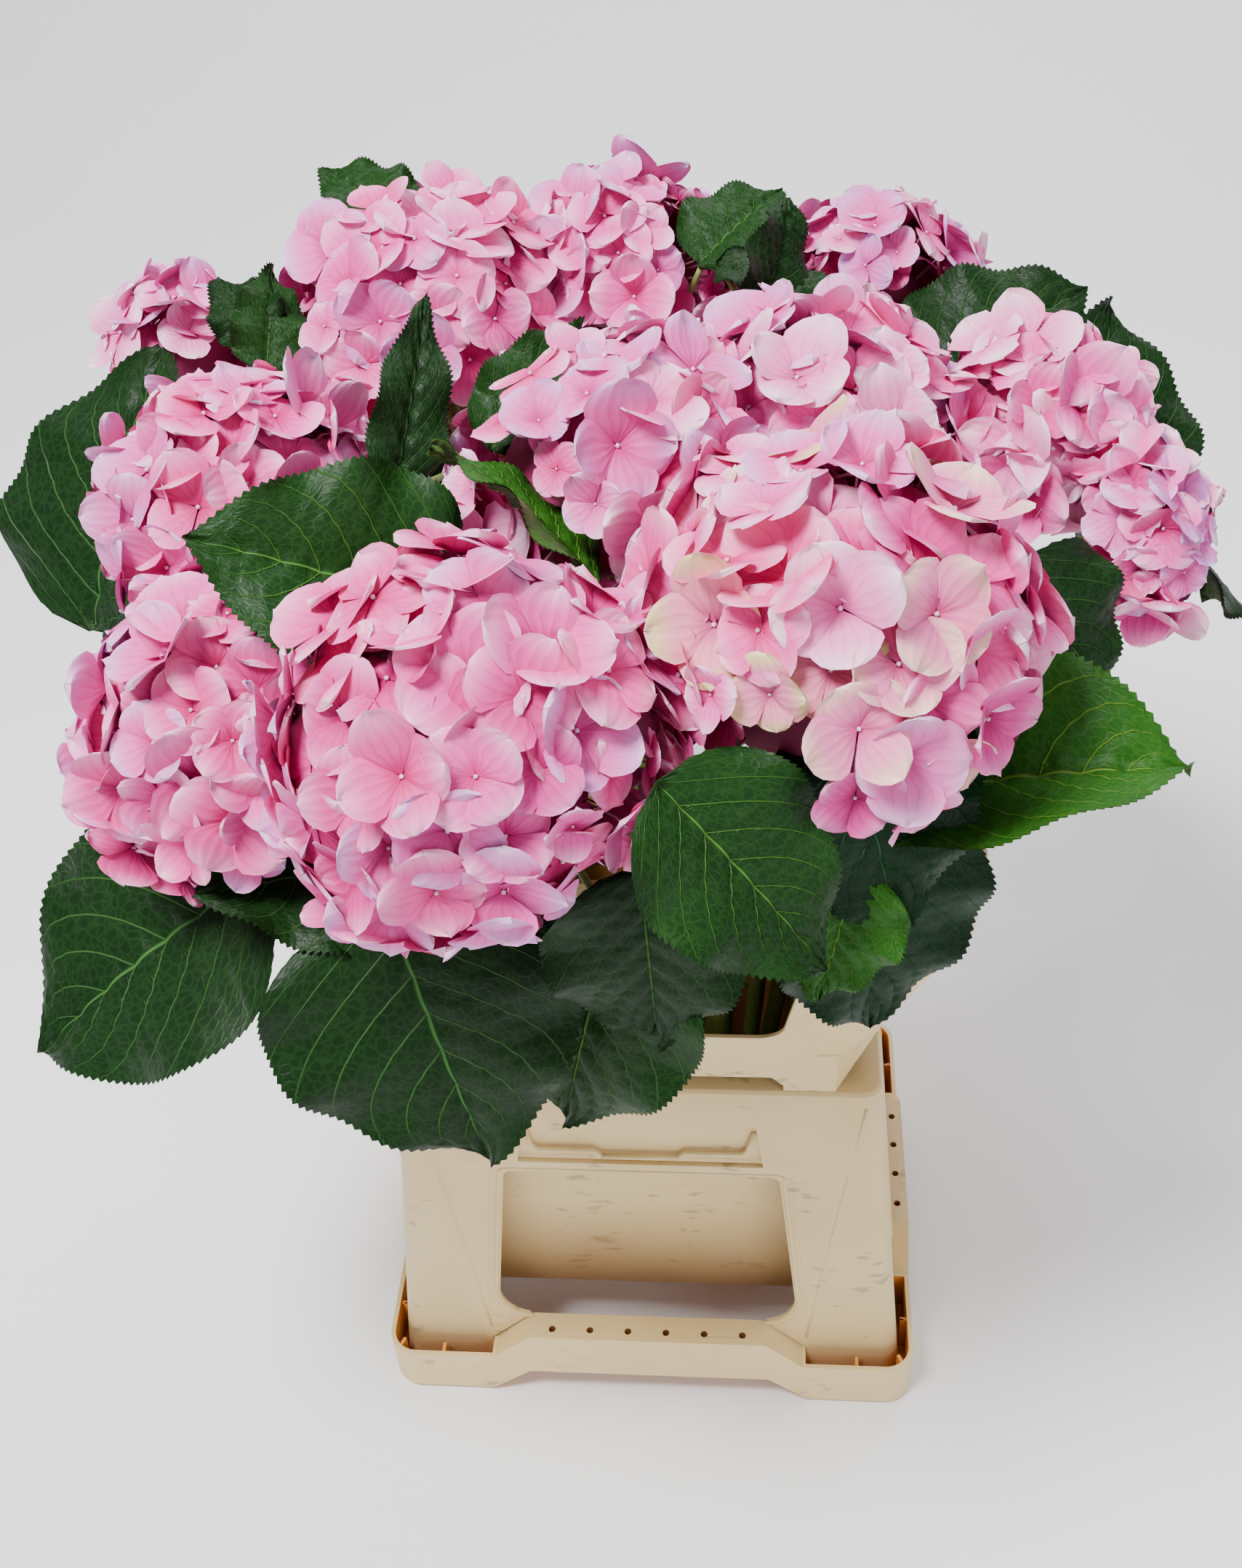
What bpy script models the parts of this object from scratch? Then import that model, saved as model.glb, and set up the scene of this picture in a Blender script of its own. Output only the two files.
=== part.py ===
"""Cut mophead hydrangea shrub standing in its cream plastic container with a slotted collar.

Metres, +Z up. The front of the container faces -Y. The model stands on z = 0, and the middle of its
outer box is the origin, so the container stands a little off centre under its lopsided crown.
Fifteen stems stand on the floor of the tub. Each carries one mass: a domed flower head and the
leaves just below it, all fused to the top of the same stem.
"""

import bpy
import bmesh
import itertools
import math
import random
from collections import namedtuple
from mathutils import Matrix, Vector
from mathutils.bvhtree import BVHTree

# Where the container's own centre lies from the origin
STAND_X = 0.01725
STAND_Y = -0.0501

GAP = 0.0003

# Small seeded shake of each piece of a mass, so that no two faces meet exactly edge on
SHAKE = 0.00002

# Foot tray
TRAY_W = 0.300
TRAY_D = 0.258
TRAY_CORNER = 0.016
TRAY_WALL = 0.0025
TRAY_BAND = 0.016
TRAY_FLOOR = 0.006
FOOT_H = 0.036
RAIL_H = 0.0575
RAIL_UNDER = 0.022
RAIL_HALF_FRONT = 0.0663
RAIL_HALF_SIDE = 0.045
RAIL_SLOPE = 0.0213
HOLE_D = 0.004
HOLE_STEP = 0.0214
HOLE_INSET = 0.0060
RIB_T = 0.002
RIB_AT_X = 0.118
RIB_AT_Y = 0.094
RIB_LOW = 0.003
RIB_HIGH = 0.033
TRAY_DRAFT = 0.002
TRAY_DRAFT_H = 0.003
RAIL_EDGE = 0.0015
RAIL_SEAM = 0.0079

# Outer body: half sizes shrink with height
BODY_X0 = 0.1415
BODY_Y0 = 0.117
BODY_Z0 = 0.030
BODY_LEAN_X = 0.0875
BODY_LEAN_Y = 0.085
BODY_WALL = 0.0025
BODY_CORNER = 0.010
POST_FOOT = TRAY_FLOOR + GAP
BAND_Z = 0.179
RIM_Z = 0.242
WINDOW_HALF_FOOT = 0.0825
WINDOW_HALF_TOP = 0.0728
WINDOW_ROUND = 0.020
RIM_EASE = 0.0015
RIM_T = 0.0035

# Label place on the header: a shallow recess with two L-shaped lips
LABEL_LOW = 0.187
LABEL_HIGH = 0.2165
LABEL_HALF_LOW = 0.064
LABEL_HALF_HIGH = 0.060
LABEL_DEEP = 0.0009
LIP_T = 0.002
LIP_PROUD = 0.0006
LIP_IN = 0.020
LIP_OUT = 0.0575
LIP_LOW = 0.1955
LIP_HIGH = 0.2125

# Inner tub
TUB_FLOOR = 0.045
TUB_WALL = 0.0025
TUB_X0 = 0.110
TUB_Y0 = 0.089
TUB_X1 = 0.1125
TUB_Y1 = 0.0905
TUB_CORNER = 0.016
TUB_FOOT_EASE = 0.008
TUB_FOOT_H = 0.010

# Collar
COLLAR_FOOT = RIM_Z + GAP
COLLAR_X0 = 0.1213
COLLAR_Y0 = 0.0980
COLLAR_BEND = 0.268
CUFF_Z = 0.375
COLLAR_TOP = 0.420
CUFF_X = 0.1555
CUFF_Y = 0.1325
COLLAR_WALL = 0.0025
COLLAR_CORNER = 0.022
SILL_LOW = 0.252
SILL_HIGH = 0.290
POST_HALF_X = 0.0735
POST_HALF_Y = 0.0520
POST_CUT_Z = 0.2655
SILL_EASE = 0.014
SLOT_EASE = 0.006
WINDOW_LEAN = 0.010

# Seams that part the posts from the sills below and from the cuffs above: aside, from, to
COLLAR_SEAMS = ((-0.0165, 0.2, 0.33), (0.002, 0.33, 0.5))

# How far cutters pass beyond what they cut
OVER = 0.01
FAR = 0.2

# Flower heads: place of the middle, radius, number of florets. The first twelve show in front.
HEADS = {
    "01": (-0.045, -0.165, 0.523, 0.079, 15),
    "02": (-0.156, -0.100, 0.473, 0.080, 14),
    "03": (-0.172, 0.010, 0.509, 0.076, 13),
    "04": (-0.239, 0.160, 0.509, 0.049, 9),
    "05": (-0.111, 0.140, 0.532, 0.080, 14),
    "06": (-0.008, 0.175, 0.542, 0.064, 11),
    "07": (0.117, 0.170, 0.526, 0.059, 11),
    "08": (-0.004, -0.020, 0.543, 0.074, 12),
    "09": (0.087, -0.122, 0.536, 0.084, 14),
    "10": (0.185, 0.060, 0.522, 0.059, 11),
    "11": (0.225, 0.010, 0.499, 0.046, 9),
    "12": (0.082, 0.034, 0.527, 0.072, 12),
    "13": (-0.125, 0.240, 0.465, 0.060, 11),
    "14": (0.030, 0.262, 0.466, 0.060, 11),
    "15": (0.172, 0.200, 0.445, 0.056, 10),
}
DOME_SWEEP = 118.0
DOME_FLAT = 0.90
CORE_PART = 0.69
FLORET_PART = 0.37
FLORET_ROOT = 0.42
LEAF_BEND = 26.0
LEAF_LIGHT = Vector((0.03, -0.35, 0.85))
LEAF_LEVELS = (0.0, 0.07, 0.22, 0.42, 0.63, 0.82, 0.94, 1.0)
LEAF_THICK = 0.011
LEAF_TEETH = (0.95, 1.03)
GOLDEN = math.pi * (3.0 - math.sqrt(5.0))

# Stems
STEM_R0 = 0.0052
STEM_R1 = 0.0038
STEM_SPREAD = 0.30
STEM_BEND_Z = 0.425
STEM_BEND_SPREAD = 0.52
FOOT_X = 0.070
FOOT_Y = 0.050
BEND_X = 0.105
BEND_Y = 0.078
MASS_STEM = 0.075
STEM_UPRIGHT = 0.008
STEM_END = 0.004

# Where a leaf, its stalk or a floret meets a neighbour, these are tried in turn: shares of its size,
# millimetres aside, shares of the stem's top where the stalk starts, and how far the stalk bows
SHARES = (1.0, 0.85, 0.7)
SLIDES = (0, 4, -4, 8, -8, 12, -12, 18, -18, 25, 33, 42)
STALK_ROOTS = (0.35, 0.6, 0.85, 0.2, 1.0)
STALK_BOWS = (0.0, 0.012, -0.012, 0.025, -0.025)
FLORET_SHARES = (1.0, 0.82, 0.66)
FLORET_DEPTHS = (1.0, 0.92, 0.84, 0.76)
CLEAR_LEAF = 1.02
CLEAR_FLORET = 1.03

# One stem stands a little aside, clear of its neighbour
FOOT_SHIFT = {"13": -0.020}

# Stems of the low outer heads arch higher, over the edge of the cuff
BEND_RISE = {"04": 0.055, "11": 0.050, "13": 0.135, "14": 0.135, "15": 0.135}

# Turns, from its own outward way, of the leaves that only the back and the sides show
SKIRT = {
    "02": (-8,),
    "03": (-4,),
    "04": (-22, 30),
    "05": (8,),
    "10": (14,),
    "11": (42,),
    "13": (-34, 14, 60),
    "14": (-46, 0, 46),
    "15": (-52, -4, 46),
}

# Leaves: head, tip (turn round the container, millimetres out, millimetres up), heading (turn, rise),
# length, width, roll about the midrib, fold of each half
LEAVES = [
    ("01", -105, 207, 319, -45, -68, 132, 146, 0, 12),
    ("01", -134, 237, 454, -144, 23, 88, 78, 0, 12),
    ("01", -97, 181, 323, -155, -76, 118, 112, 0, 12),
    ("01", -84, 191, 390, 0, -88, 95, 90, 0, 12),
    ("02", -149, 306, 328, -163, -36, 130, 112, 0, 12),
    ("02", -167, 266, 398, -161, -25, 100, 90, 0, 12),
    ("03", 153, 263, 537, 64, 51, 145, 152, 0, 12),
    ("08", -145, 191, 566, -170, 26, 105, 100, 0, 12),
    ("05", 166, 84, 609, 79, 46, 84, 50, 60, 12),
    ("08", -139, 91, 585, 150, 28, 86, 66, 70, 12),
    ("08", 119, 34, 590, 56, 24, 76, 66, 30, 12),
    ("04", 149, 232, 573, 130, 23, 46, 40, 0, 12),
    ("04", 145, 212, 576, 93, 30, 58, 42, 40, 12),
    ("05", 129, 257, 594, 141, 15, 62, 52, 0, 12),
    ("06", 70, 202, 582, 49, 15, 64, 58, 0, 12),
    ("06", 65, 165, 595, 75, 35, 74, 56, 50, 12),
    ("07", 48, 147, 553, -15, -17, 66, 56, 0, 12),
    ("10", 33, 255, 552, 26, 19, 96, 90, 0, 12),
    ("10", 30, 257, 551, 81, 40, 110, 106, 0, 12),
    ("11", -19, 214, 460, -22, -60, 80, 75, 0, 12),
    ("09", -30, 261, 483, -6, 14, 122, 146, -20, 34),
    ("09", -40, 204, 430, -17, -54, 95, 90, 0, 12),
    ("09", -58, 212, 443, -52, -67, 95, 100, 0, 12),
    ("09", -56, 192, 364, -58, -82, 112, 108, 0, 12),
    ("09", -66, 207, 414, -134, -73, 60, 56, 0, 12),
    ("09", -69, 224, 462, -10, -53, 112, 92, 0, 12),
]

Head = namedtuple("Head", "middle radius axis neck bend foot")
Blade = namedtuple("Blade", "foot chord upper size width bend fold")


def clear_scene():
    for item in list(bpy.data.objects):
        bpy.data.objects.remove(item)
    for item in list(bpy.data.collections):
        bpy.data.collections.remove(item)


def material(name, colour, roughness):
    made = bpy.data.materials.new(name)
    made.use_nodes = True
    shader = made.node_tree.nodes["Principled BSDF"]
    shader.inputs["Base Color"].default_value = (*colour, 1.0)
    shader.inputs["Roughness"].default_value = roughness
    shader.inputs["Metallic"].default_value = 0.0
    made.diffuse_color = (*colour, 1.0)
    return made


def add_object(name, mesh, group):
    made = bpy.data.objects.new(name, mesh)
    group.objects.link(made)
    return made


def mesh_from(bm, name):
    bmesh.ops.recalc_face_normals(bm, faces=bm.faces)
    if bm.calc_volume(signed=True) < 0.0:
        bmesh.ops.reverse_faces(bm, faces=bm.faces)
    mesh = bpy.data.meshes.new(name)
    bm.to_mesh(mesh)
    bm.free()
    return mesh


def combined(target, others, operation, solver="EXACT"):
    """Applies one Boolean of target with all the others, which are then removed."""
    group = bpy.data.collections.new("cutters")
    bpy.context.scene.collection.children.link(group)
    for item in others:
        for owner in list(item.users_collection):
            owner.objects.unlink(item)
        group.objects.link(item)
        item.hide_render = True
        item.display_type = "WIRE"
    change = target.modifiers.new("join", "BOOLEAN")
    change.operation = operation
    change.operand_type = "COLLECTION"
    change.collection = group
    change.solver = solver
    bpy.context.view_layer.update()
    graph = bpy.context.evaluated_depsgraph_get()
    mesh = bpy.data.meshes.new_from_object(target.evaluated_get(graph))
    target.modifiers.clear()
    target.data = mesh
    for item in others:
        bpy.data.objects.remove(item)
    bpy.data.collections.remove(group)
    return target


def rounded_outline(half_x, half_y, corner, steps=3, flat=0.0):
    """Corner points of a rectangle with rounded corners. flat 1 turns each corner into a straight bevel."""
    points = []
    for quarter in range(4):
        sx = (1, -1, -1, 1)[quarter]
        sy = (1, 1, -1, -1)[quarter]
        cx = sx * (half_x - corner)
        cy = sy * (half_y - corner)
        start = quarter * math.pi / 2.0
        first = Vector((cx + corner * math.cos(start), cy + corner * math.sin(start)))
        last = Vector((cx - corner * math.sin(start), cy + corner * math.cos(start)))
        for step in range(steps + 1):
            part = step / steps
            turn = start + part * math.pi / 2.0
            arc = Vector((cx + corner * math.cos(turn), cy + corner * math.sin(turn)))
            points.append(arc.lerp(first.lerp(last, part), flat))
    return points


def loft(name, levels, group):
    """Closed solid through outlines with the same number of points, each given as (outline, z)."""
    bm = bmesh.new()
    rings = []
    for outline, z in levels:
        rings.append([bm.verts.new((p.x, p.y, z)) for p in outline])
    bm.faces.new(reversed(rings[0]))
    bm.faces.new(rings[-1])
    for low, high in zip(rings, rings[1:]):
        for i in range(len(low)):
            j = (i + 1) % len(low)
            bm.faces.new((low[i], low[j], high[j], high[i]))
    return add_object(name, mesh_from(bm, name), group)


def prism(name, outline, low, high, axis, group):
    """Outline in the plane across axis, pulled from low to high along it."""
    bm = bmesh.new()
    corners = []
    for a, b in outline:
        spot = (a, low, b) if axis == "Y" else (low, a, b) if axis == "X" else (a, b, low)
        corners.append(bm.verts.new(spot))
    face = bm.faces.new(corners)
    grown = bmesh.ops.extrude_face_region(bm, geom=[face])
    moved = [item for item in grown["geom"] if isinstance(item, bmesh.types.BMVert)]
    step = {"X": (high - low, 0, 0), "Y": (0, high - low, 0), "Z": (0, 0, high - low)}[axis]
    bmesh.ops.translate(bm, verts=moved, vec=step)
    return add_object(name, mesh_from(bm, name), group)


def box(name, low, high, group):
    bm = bmesh.new()
    bmesh.ops.create_cube(bm, size=1.0)
    size = [h - l for l, h in zip(low, high)]
    middle = [(h + l) / 2.0 for l, h in zip(low, high)]
    bmesh.ops.scale(bm, vec=size, verts=bm.verts)
    bmesh.ops.translate(bm, vec=middle, verts=bm.verts)
    return add_object(name, mesh_from(bm, name), group)


def tube(name, points, radii, group, around=1):
    """Tapering round limb along points, as a curve with filled ends."""
    line = bpy.data.curves.new(name, "CURVE")
    line.dimensions = "3D"
    line.bevel_depth = 1.0
    line.bevel_resolution = around
    line.use_fill_caps = True
    spline = line.splines.new("POLY")
    spline.points.add(len(points) - 1)
    for knot, place, radius in zip(spline.points, points, radii):
        knot.co = (*place, 1.0)
        knot.radius = radius
    made = add_object(name, line, group)
    bpy.context.view_layer.update()
    graph = bpy.context.evaluated_depsgraph_get()
    mesh = bpy.data.meshes.new_from_object(made.evaluated_get(graph))
    bm = bmesh.new()
    bm.from_mesh(mesh)
    bmesh.ops.remove_doubles(bm, verts=bm.verts, dist=0.00001)
    bpy.data.objects.remove(made)
    return add_object(name, mesh_from(bm, name), group)


def loose_parts(mesh):
    """Sets of vertex numbers, one for each loose part of a mesh."""
    bm = bmesh.new()
    bm.from_mesh(mesh)
    seen = set()
    parts = []
    for start in bm.verts:
        if start.index in seen:
            continue
        stack = [start]
        part = set()
        while stack:
            vert = stack.pop()
            if vert.index in part:
                continue
            part.add(vert.index)
            stack.extend(edge.other_vert(vert) for edge in vert.link_edges)
        seen |= part
        parts.append(part)
    bm.free()
    return parts


def kept_part(mesh, part, name):
    """New mesh of the vertices in part only."""
    bm = bmesh.new()
    bm.from_mesh(mesh)
    bm.verts.ensure_lookup_table()
    rest = [vert for vert in bm.verts if vert.index not in part]
    bmesh.ops.delete(bm, geom=rest, context="VERTS")
    return mesh_from(bm, name)


def islands(source, group):
    """Splits an object into one new object for each loose part."""
    parts = loose_parts(source.data)
    made = [add_object("part", kept_part(source.data, part, "part"), group) for part in parts]
    bpy.data.objects.remove(source)
    return made


def middle_of(item):
    corners = [vert.co for vert in item.data.vertices]
    low = Vector([min(c[i] for c in corners) for i in range(3)])
    high = Vector([max(c[i] for c in corners) for i in range(3)])
    return (low + high) / 2.0


def tree_of(item, grow=1.0):
    """Search tree of an object's triangles, grown a little about its middle."""
    bm = bmesh.new()
    bm.from_mesh(item.data)
    if grow != 1.0:
        middle = middle_of(item)
        for vert in bm.verts:
            vert.co = middle + (vert.co - middle) * grow
    made = BVHTree.FromBMesh(bm)
    bm.free()
    return made


# Container


def body_half(z):
    fall = z - BODY_Z0
    return BODY_X0 - BODY_LEAN_X * fall, BODY_Y0 - BODY_LEAN_Y * fall


def rail_profile(half, flat_half):
    """Outline of one side of the tray: feet at the ends and a raised arch between them."""
    right = [
        (half, 0.0),
        (half, FOOT_H),
        (flat_half + RAIL_SLOPE, FOOT_H),
        (flat_half, RAIL_H),
    ]
    under = [(flat_half + 0.002, RAIL_UNDER), (flat_half + RAIL_SLOPE + 0.006, 0.0)]
    left = [(-a, b) for a, b in reversed(right)]
    under_left = [(-a, b) for a, b in reversed(under)]
    return right + left + under_left + under


def build_tray(group, skin):
    half_x = TRAY_W / 2.0
    half_y = TRAY_D / 2.0
    front = rail_profile(half_x, RAIL_HALF_FRONT)
    side = rail_profile(half_y, RAIL_HALF_SIDE)
    tray = prism("foot_tray", front, -half_y, -half_y + TRAY_BAND, "Y", group)
    others = [
        prism("side", front, half_y - TRAY_BAND, half_y, "Y", group),
        prism("side", side, -half_x, -half_x + TRAY_BAND, "X", group),
        prism("side", side, half_x - TRAY_BAND, half_x, "X", group),
    ]
    combined(tray, others, "UNION")
    outer = rounded_outline(half_x, half_y, TRAY_CORNER)
    low = rounded_outline(half_x - TRAY_DRAFT, half_y - TRAY_DRAFT, TRAY_CORNER - TRAY_DRAFT)
    top = RAIL_H + OVER
    shape = loft("shape", [(low, 0.0), (outer, TRAY_DRAFT_H), (outer, top)], group)
    combined(tray, [shape], "INTERSECT")
    inner = rounded_outline(half_x - TRAY_WALL, half_y - TRAY_WALL, TRAY_CORNER - TRAY_WALL)
    pocket = loft("pocket", [(inner, TRAY_FLOOR), (inner, top)], group)
    keep_x = RAIL_HALF_FRONT + RAIL_SLOPE + RAIL_EDGE
    keep_y = RAIL_HALF_SIDE + RAIL_SLOPE + RAIL_EDGE
    keep = [
        box("keep", (-keep_x, -FAR, 0.0), (keep_x, FAR, FAR), group),
        box("keep", (-FAR, -keep_y, 0.0), (FAR, keep_y, FAR), group),
    ]
    combined(pocket, keep, "DIFFERENCE")
    holes = [pocket]
    for row in range(6):
        for sign in (-1, 1):
            spot = ((row - 2.5) * HOLE_STEP, sign * (half_y - HOLE_INSET))
            holes.append(hole_cutter(spot, group))
    for row in range(4):
        for sign in (-1, 1):
            spot = (sign * (half_x - HOLE_INSET), (row - 1.5) * HOLE_STEP)
            holes.append(hole_cutter(spot, group))
    combined(tray, holes, "DIFFERENCE")
    ribs = []
    post_x, post_y = body_half(POST_FOOT)
    for sx in (-1, 1):
        for sy in (-1, 1):
            wall_x = half_x - TRAY_WALL / 2.0
            wall_y = half_y - TRAY_WALL / 2.0
            at = sx * RIB_AT_X
            near, far = sorted((sy * wall_y, sy * (post_y + GAP)))
            ribs.append(box("rib", (at - RIB_T / 2, near, RIB_LOW), (at + RIB_T / 2, far, RIB_HIGH), group))
            at = sy * RIB_AT_Y
            near, far = sorted((sx * wall_x, sx * (post_x + GAP)))
            ribs.append(box("rib", (near, at - RIB_T / 2, RIB_LOW), (far, at + RIB_T / 2, RIB_HIGH), group))
    combined(tray, ribs, "UNION")
    seam_x = RAIL_HALF_FRONT + RAIL_SLOPE + RAIL_SEAM
    seam_y = RAIL_HALF_SIDE + RAIL_SLOPE + RAIL_SEAM
    seams = []
    for sign in (-1, 1):
        seam = sign * seam_x
        seams.append(box("seam", (seam - GAP / 2, -FAR, -OVER), (seam + GAP / 2, FAR, FAR), group))
        seam = sign * seam_y
        seams.append(box("seam", (-FAR, seam - GAP / 2, -OVER), (FAR, seam + GAP / 2, FAR), group))
    combined(tray, seams, "DIFFERENCE")
    made = []
    for part in islands(tray, group):
        spot = middle_of(part)
        across = "right" if spot.x > 0 else "left"
        along = "back" if spot.y > 0 else "front"
        if abs(spot.x) > seam_x and abs(spot.y) > seam_y:
            part.name = "tray_corner_" + along + "_" + across
        else:
            part.name = "tray_rail_" + (across if abs(spot.x) > seam_x else along)
        finish(part, skin)
        made.append(part)
    return made


def hole_cutter(spot, group):
    bm = bmesh.new()
    deep = RAIL_H + 2.0 * OVER
    bmesh.ops.create_cone(
        bm, cap_ends=True, segments=6, radius1=HOLE_D / 2, radius2=HOLE_D / 2, depth=deep
    )
    bmesh.ops.translate(bm, vec=(spot[0], spot[1], deep / 2.0), verts=bm.verts)
    return add_object("hole", mesh_from(bm, "hole"), group)


def window_outline(foot_half, top_half, rail_half, low, top):
    """Everything between two posts of one side: over the rail, then up the window's slanted edges."""
    clear = 0.0005
    arc_x = foot_half - WINDOW_ROUND
    rail_z = RAIL_H + clear
    right = [
        (rail_half + RAIL_SLOPE + RAIL_EDGE + clear, low),
        (rail_half + RAIL_SLOPE + RAIL_EDGE + clear, FOOT_H + clear),
        (rail_half + clear, rail_z),
    ]
    if arc_x < rail_half:
        right.append((arc_x, rail_z))
    for step in range(1, 5):
        turn = -math.pi / 2.0 + step * math.pi / 8.0
        spot = (arc_x + WINDOW_ROUND * math.cos(turn), rail_z + WINDOW_ROUND * (1.0 + math.sin(turn)))
        right.append(spot)
    right.append((top_half, top))
    return right + [(-a, b) for a, b in reversed(right)]


def build_posts(group, skin):
    """Four corner posts of the outer body, cut from one tapered shell by the four windows."""
    top = BAND_Z - GAP
    low_x, low_y = body_half(POST_FOOT)
    top_x, top_y = body_half(top)
    outer = [
        (rounded_outline(low_x, low_y, BODY_CORNER), POST_FOOT),
        (rounded_outline(top_x, top_y, BODY_CORNER), top),
    ]
    shell = loft("posts", outer, group)
    over_x, over_y = body_half(POST_FOOT - OVER)
    past_x, past_y = body_half(top + OVER)
    wall = BODY_WALL
    inner = [
        (rounded_outline(over_x - wall, over_y - wall, BODY_CORNER - wall), POST_FOOT - OVER),
        (rounded_outline(past_x - wall, past_y - wall, BODY_CORNER - wall), top + OVER),
    ]
    front = window_outline(WINDOW_HALF_FOOT, WINDOW_HALF_TOP, RAIL_HALF_FRONT, -OVER, top + OVER)
    narrow = RAIL_HALF_FRONT - RAIL_HALF_SIDE
    side = window_outline(
        WINDOW_HALF_FOOT - narrow, WINDOW_HALF_TOP - narrow, RAIL_HALF_SIDE, -OVER, top + OVER
    )
    cutters = [
        loft("hollow", inner, group),
        prism("window", front, -FAR, FAR, "Y", group),
        prism("window", side, -FAR, FAR, "X", group),
    ]
    combined(shell, cutters, "DIFFERENCE")
    names = {(-1, -1): "front_left", (1, -1): "front_right", (-1, 1): "back_left", (1, 1): "back_right"}
    made = []
    for part in islands(shell, group):
        spot = middle_of(part)
        key = (1 if spot.x > 0 else -1, 1 if spot.y > 0 else -1)
        part.name = "body_post_" + names[key]
        finish(part, skin)
        made.append(part)
    return made


def build_tub(group, skin):
    """Inner tub with the rim, and the header band that hangs from the rim and joins the posts."""
    low_x, low_y = body_half(BAND_Z)
    top_x, top_y = body_half(RIM_Z)
    corner = BODY_CORNER
    band = loft(
        "tub",
        [
            (rounded_outline(low_x, low_y, corner), BAND_Z),
            (rounded_outline(top_x, top_y, corner), RIM_Z - RIM_EASE),
            (rounded_outline(top_x - RIM_EASE, top_y - RIM_EASE, corner - RIM_EASE), RIM_Z),
        ],
        group,
    )
    wall = BODY_WALL
    past_x, past_y = body_half(BAND_Z - OVER)
    lid = RIM_Z - RIM_T
    lid_x, lid_y = body_half(lid)
    inner = loft(
        "hollow",
        [
            (rounded_outline(past_x - wall, past_y - wall, corner - wall), BAND_Z - OVER),
            (rounded_outline(lid_x - wall, lid_y - wall, corner - wall), lid),
        ],
        group,
    )
    recess = []
    outline = [(-LABEL_HALF_LOW, LABEL_LOW), (LABEL_HALF_LOW, LABEL_LOW)]
    outline += [(LABEL_HALF_HIGH, LABEL_HIGH), (-LABEL_HALF_HIGH, LABEL_HIGH)]
    for sign in (-1, 1):
        face = body_half((LABEL_LOW + LABEL_HIGH) / 2.0)[1]
        span = sorted((sign * (face - LABEL_DEEP), sign * (face + OVER)))
        recess.append(prism("recess", outline, span[0], span[1], "Y", group))
    combined(band, [inner] + recess, "DIFFERENCE")
    ease = TUB_FOOT_EASE
    tub_outer = loft(
        "tub_outer",
        [
            (rounded_outline(TUB_X0 - ease, TUB_Y0 - ease, TUB_CORNER - ease), TUB_FLOOR),
            (rounded_outline(TUB_X0, TUB_Y0, TUB_CORNER), TUB_FLOOR + TUB_FOOT_H),
            (rounded_outline(TUB_X1, TUB_Y1, TUB_CORNER), RIM_Z - RIM_T / 2.0),
        ],
        group,
    )
    lips = []
    for sign in (-1, 1):
        for side in (-1, 1):
            face = body_half(LIP_LOW)[1]
            near, far = sorted((sign * (face - LIP_T), sign * (face + LIP_PROUD)))
            left, right = sorted((side * LIP_IN, side * LIP_OUT))
            lips.append(box("lip", (left, near, LIP_LOW), (right, far, LIP_LOW + LIP_T), group))
            face = body_half((LIP_LOW + LIP_HIGH) / 2.0)[1]
            near, far = sorted((sign * (face - LIP_T), sign * (face + LIP_PROUD)))
            left, right = sorted((side * (LIP_OUT - LIP_T), side * LIP_OUT))
            lips.append(box("lip", (left, near, LIP_LOW + LIP_T / 2.0), (right, far, LIP_HIGH), group))
    combined(band, [tub_outer] + lips, "UNION")
    wall = TUB_WALL
    foot = ease + wall
    hollow = loft(
        "hollow",
        [
            (rounded_outline(TUB_X0 - foot, TUB_Y0 - foot, TUB_CORNER - ease), TUB_FLOOR + wall),
            (rounded_outline(TUB_X0 - wall, TUB_Y0 - wall, TUB_CORNER - wall), TUB_FLOOR + TUB_FOOT_H + wall),
            (rounded_outline(TUB_X1 - wall, TUB_Y1 - wall, TUB_CORNER - wall), RIM_Z + OVER),
        ],
        group,
    )
    combined(band, [hollow], "DIFFERENCE")
    finish(band, skin)
    return [band]


def collar_levels(inset, low, high):
    """Outlines of the collar from its foot to its top: upright, then flared, then the upright cuff."""
    levels = []
    for half_x, half_y, z, flat in (
        (COLLAR_X0, COLLAR_Y0, low, 1.0),
        (COLLAR_X0, COLLAR_Y0, COLLAR_BEND, 1.0),
        (CUFF_X, CUFF_Y, CUFF_Z, 0.3),
        (CUFF_X + 0.001, CUFF_Y + 0.001, high, 0.0),
    ):
        corner = COLLAR_CORNER - inset * 0.5
        levels.append((rounded_outline(half_x - inset, half_y - inset, corner, 3, flat), z))
    return levels


def collar_window(half):
    """Opening above the sill, with round lower corners and slanted edges."""
    ease = SILL_EASE
    right = []
    for step in range(5):
        turn = -math.pi / 2.0 + step * math.pi / 8.0
        right.append((half - ease + ease * math.cos(turn), SILL_HIGH + ease * (1.0 + math.sin(turn))))
    right.append((half + WINDOW_LEAN, CUFF_Z))
    return right + [(-a, b) for a, b in reversed(right)]


def collar_slot(half):
    """Slot between the sill and the rim, with its upper corners eased."""
    right = [(half, COLLAR_FOOT - OVER), (half, SILL_LOW - SLOT_EASE), (half - SLOT_EASE, SILL_LOW)]
    return right + [(-a, b) for a, b in reversed(right)]


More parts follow.
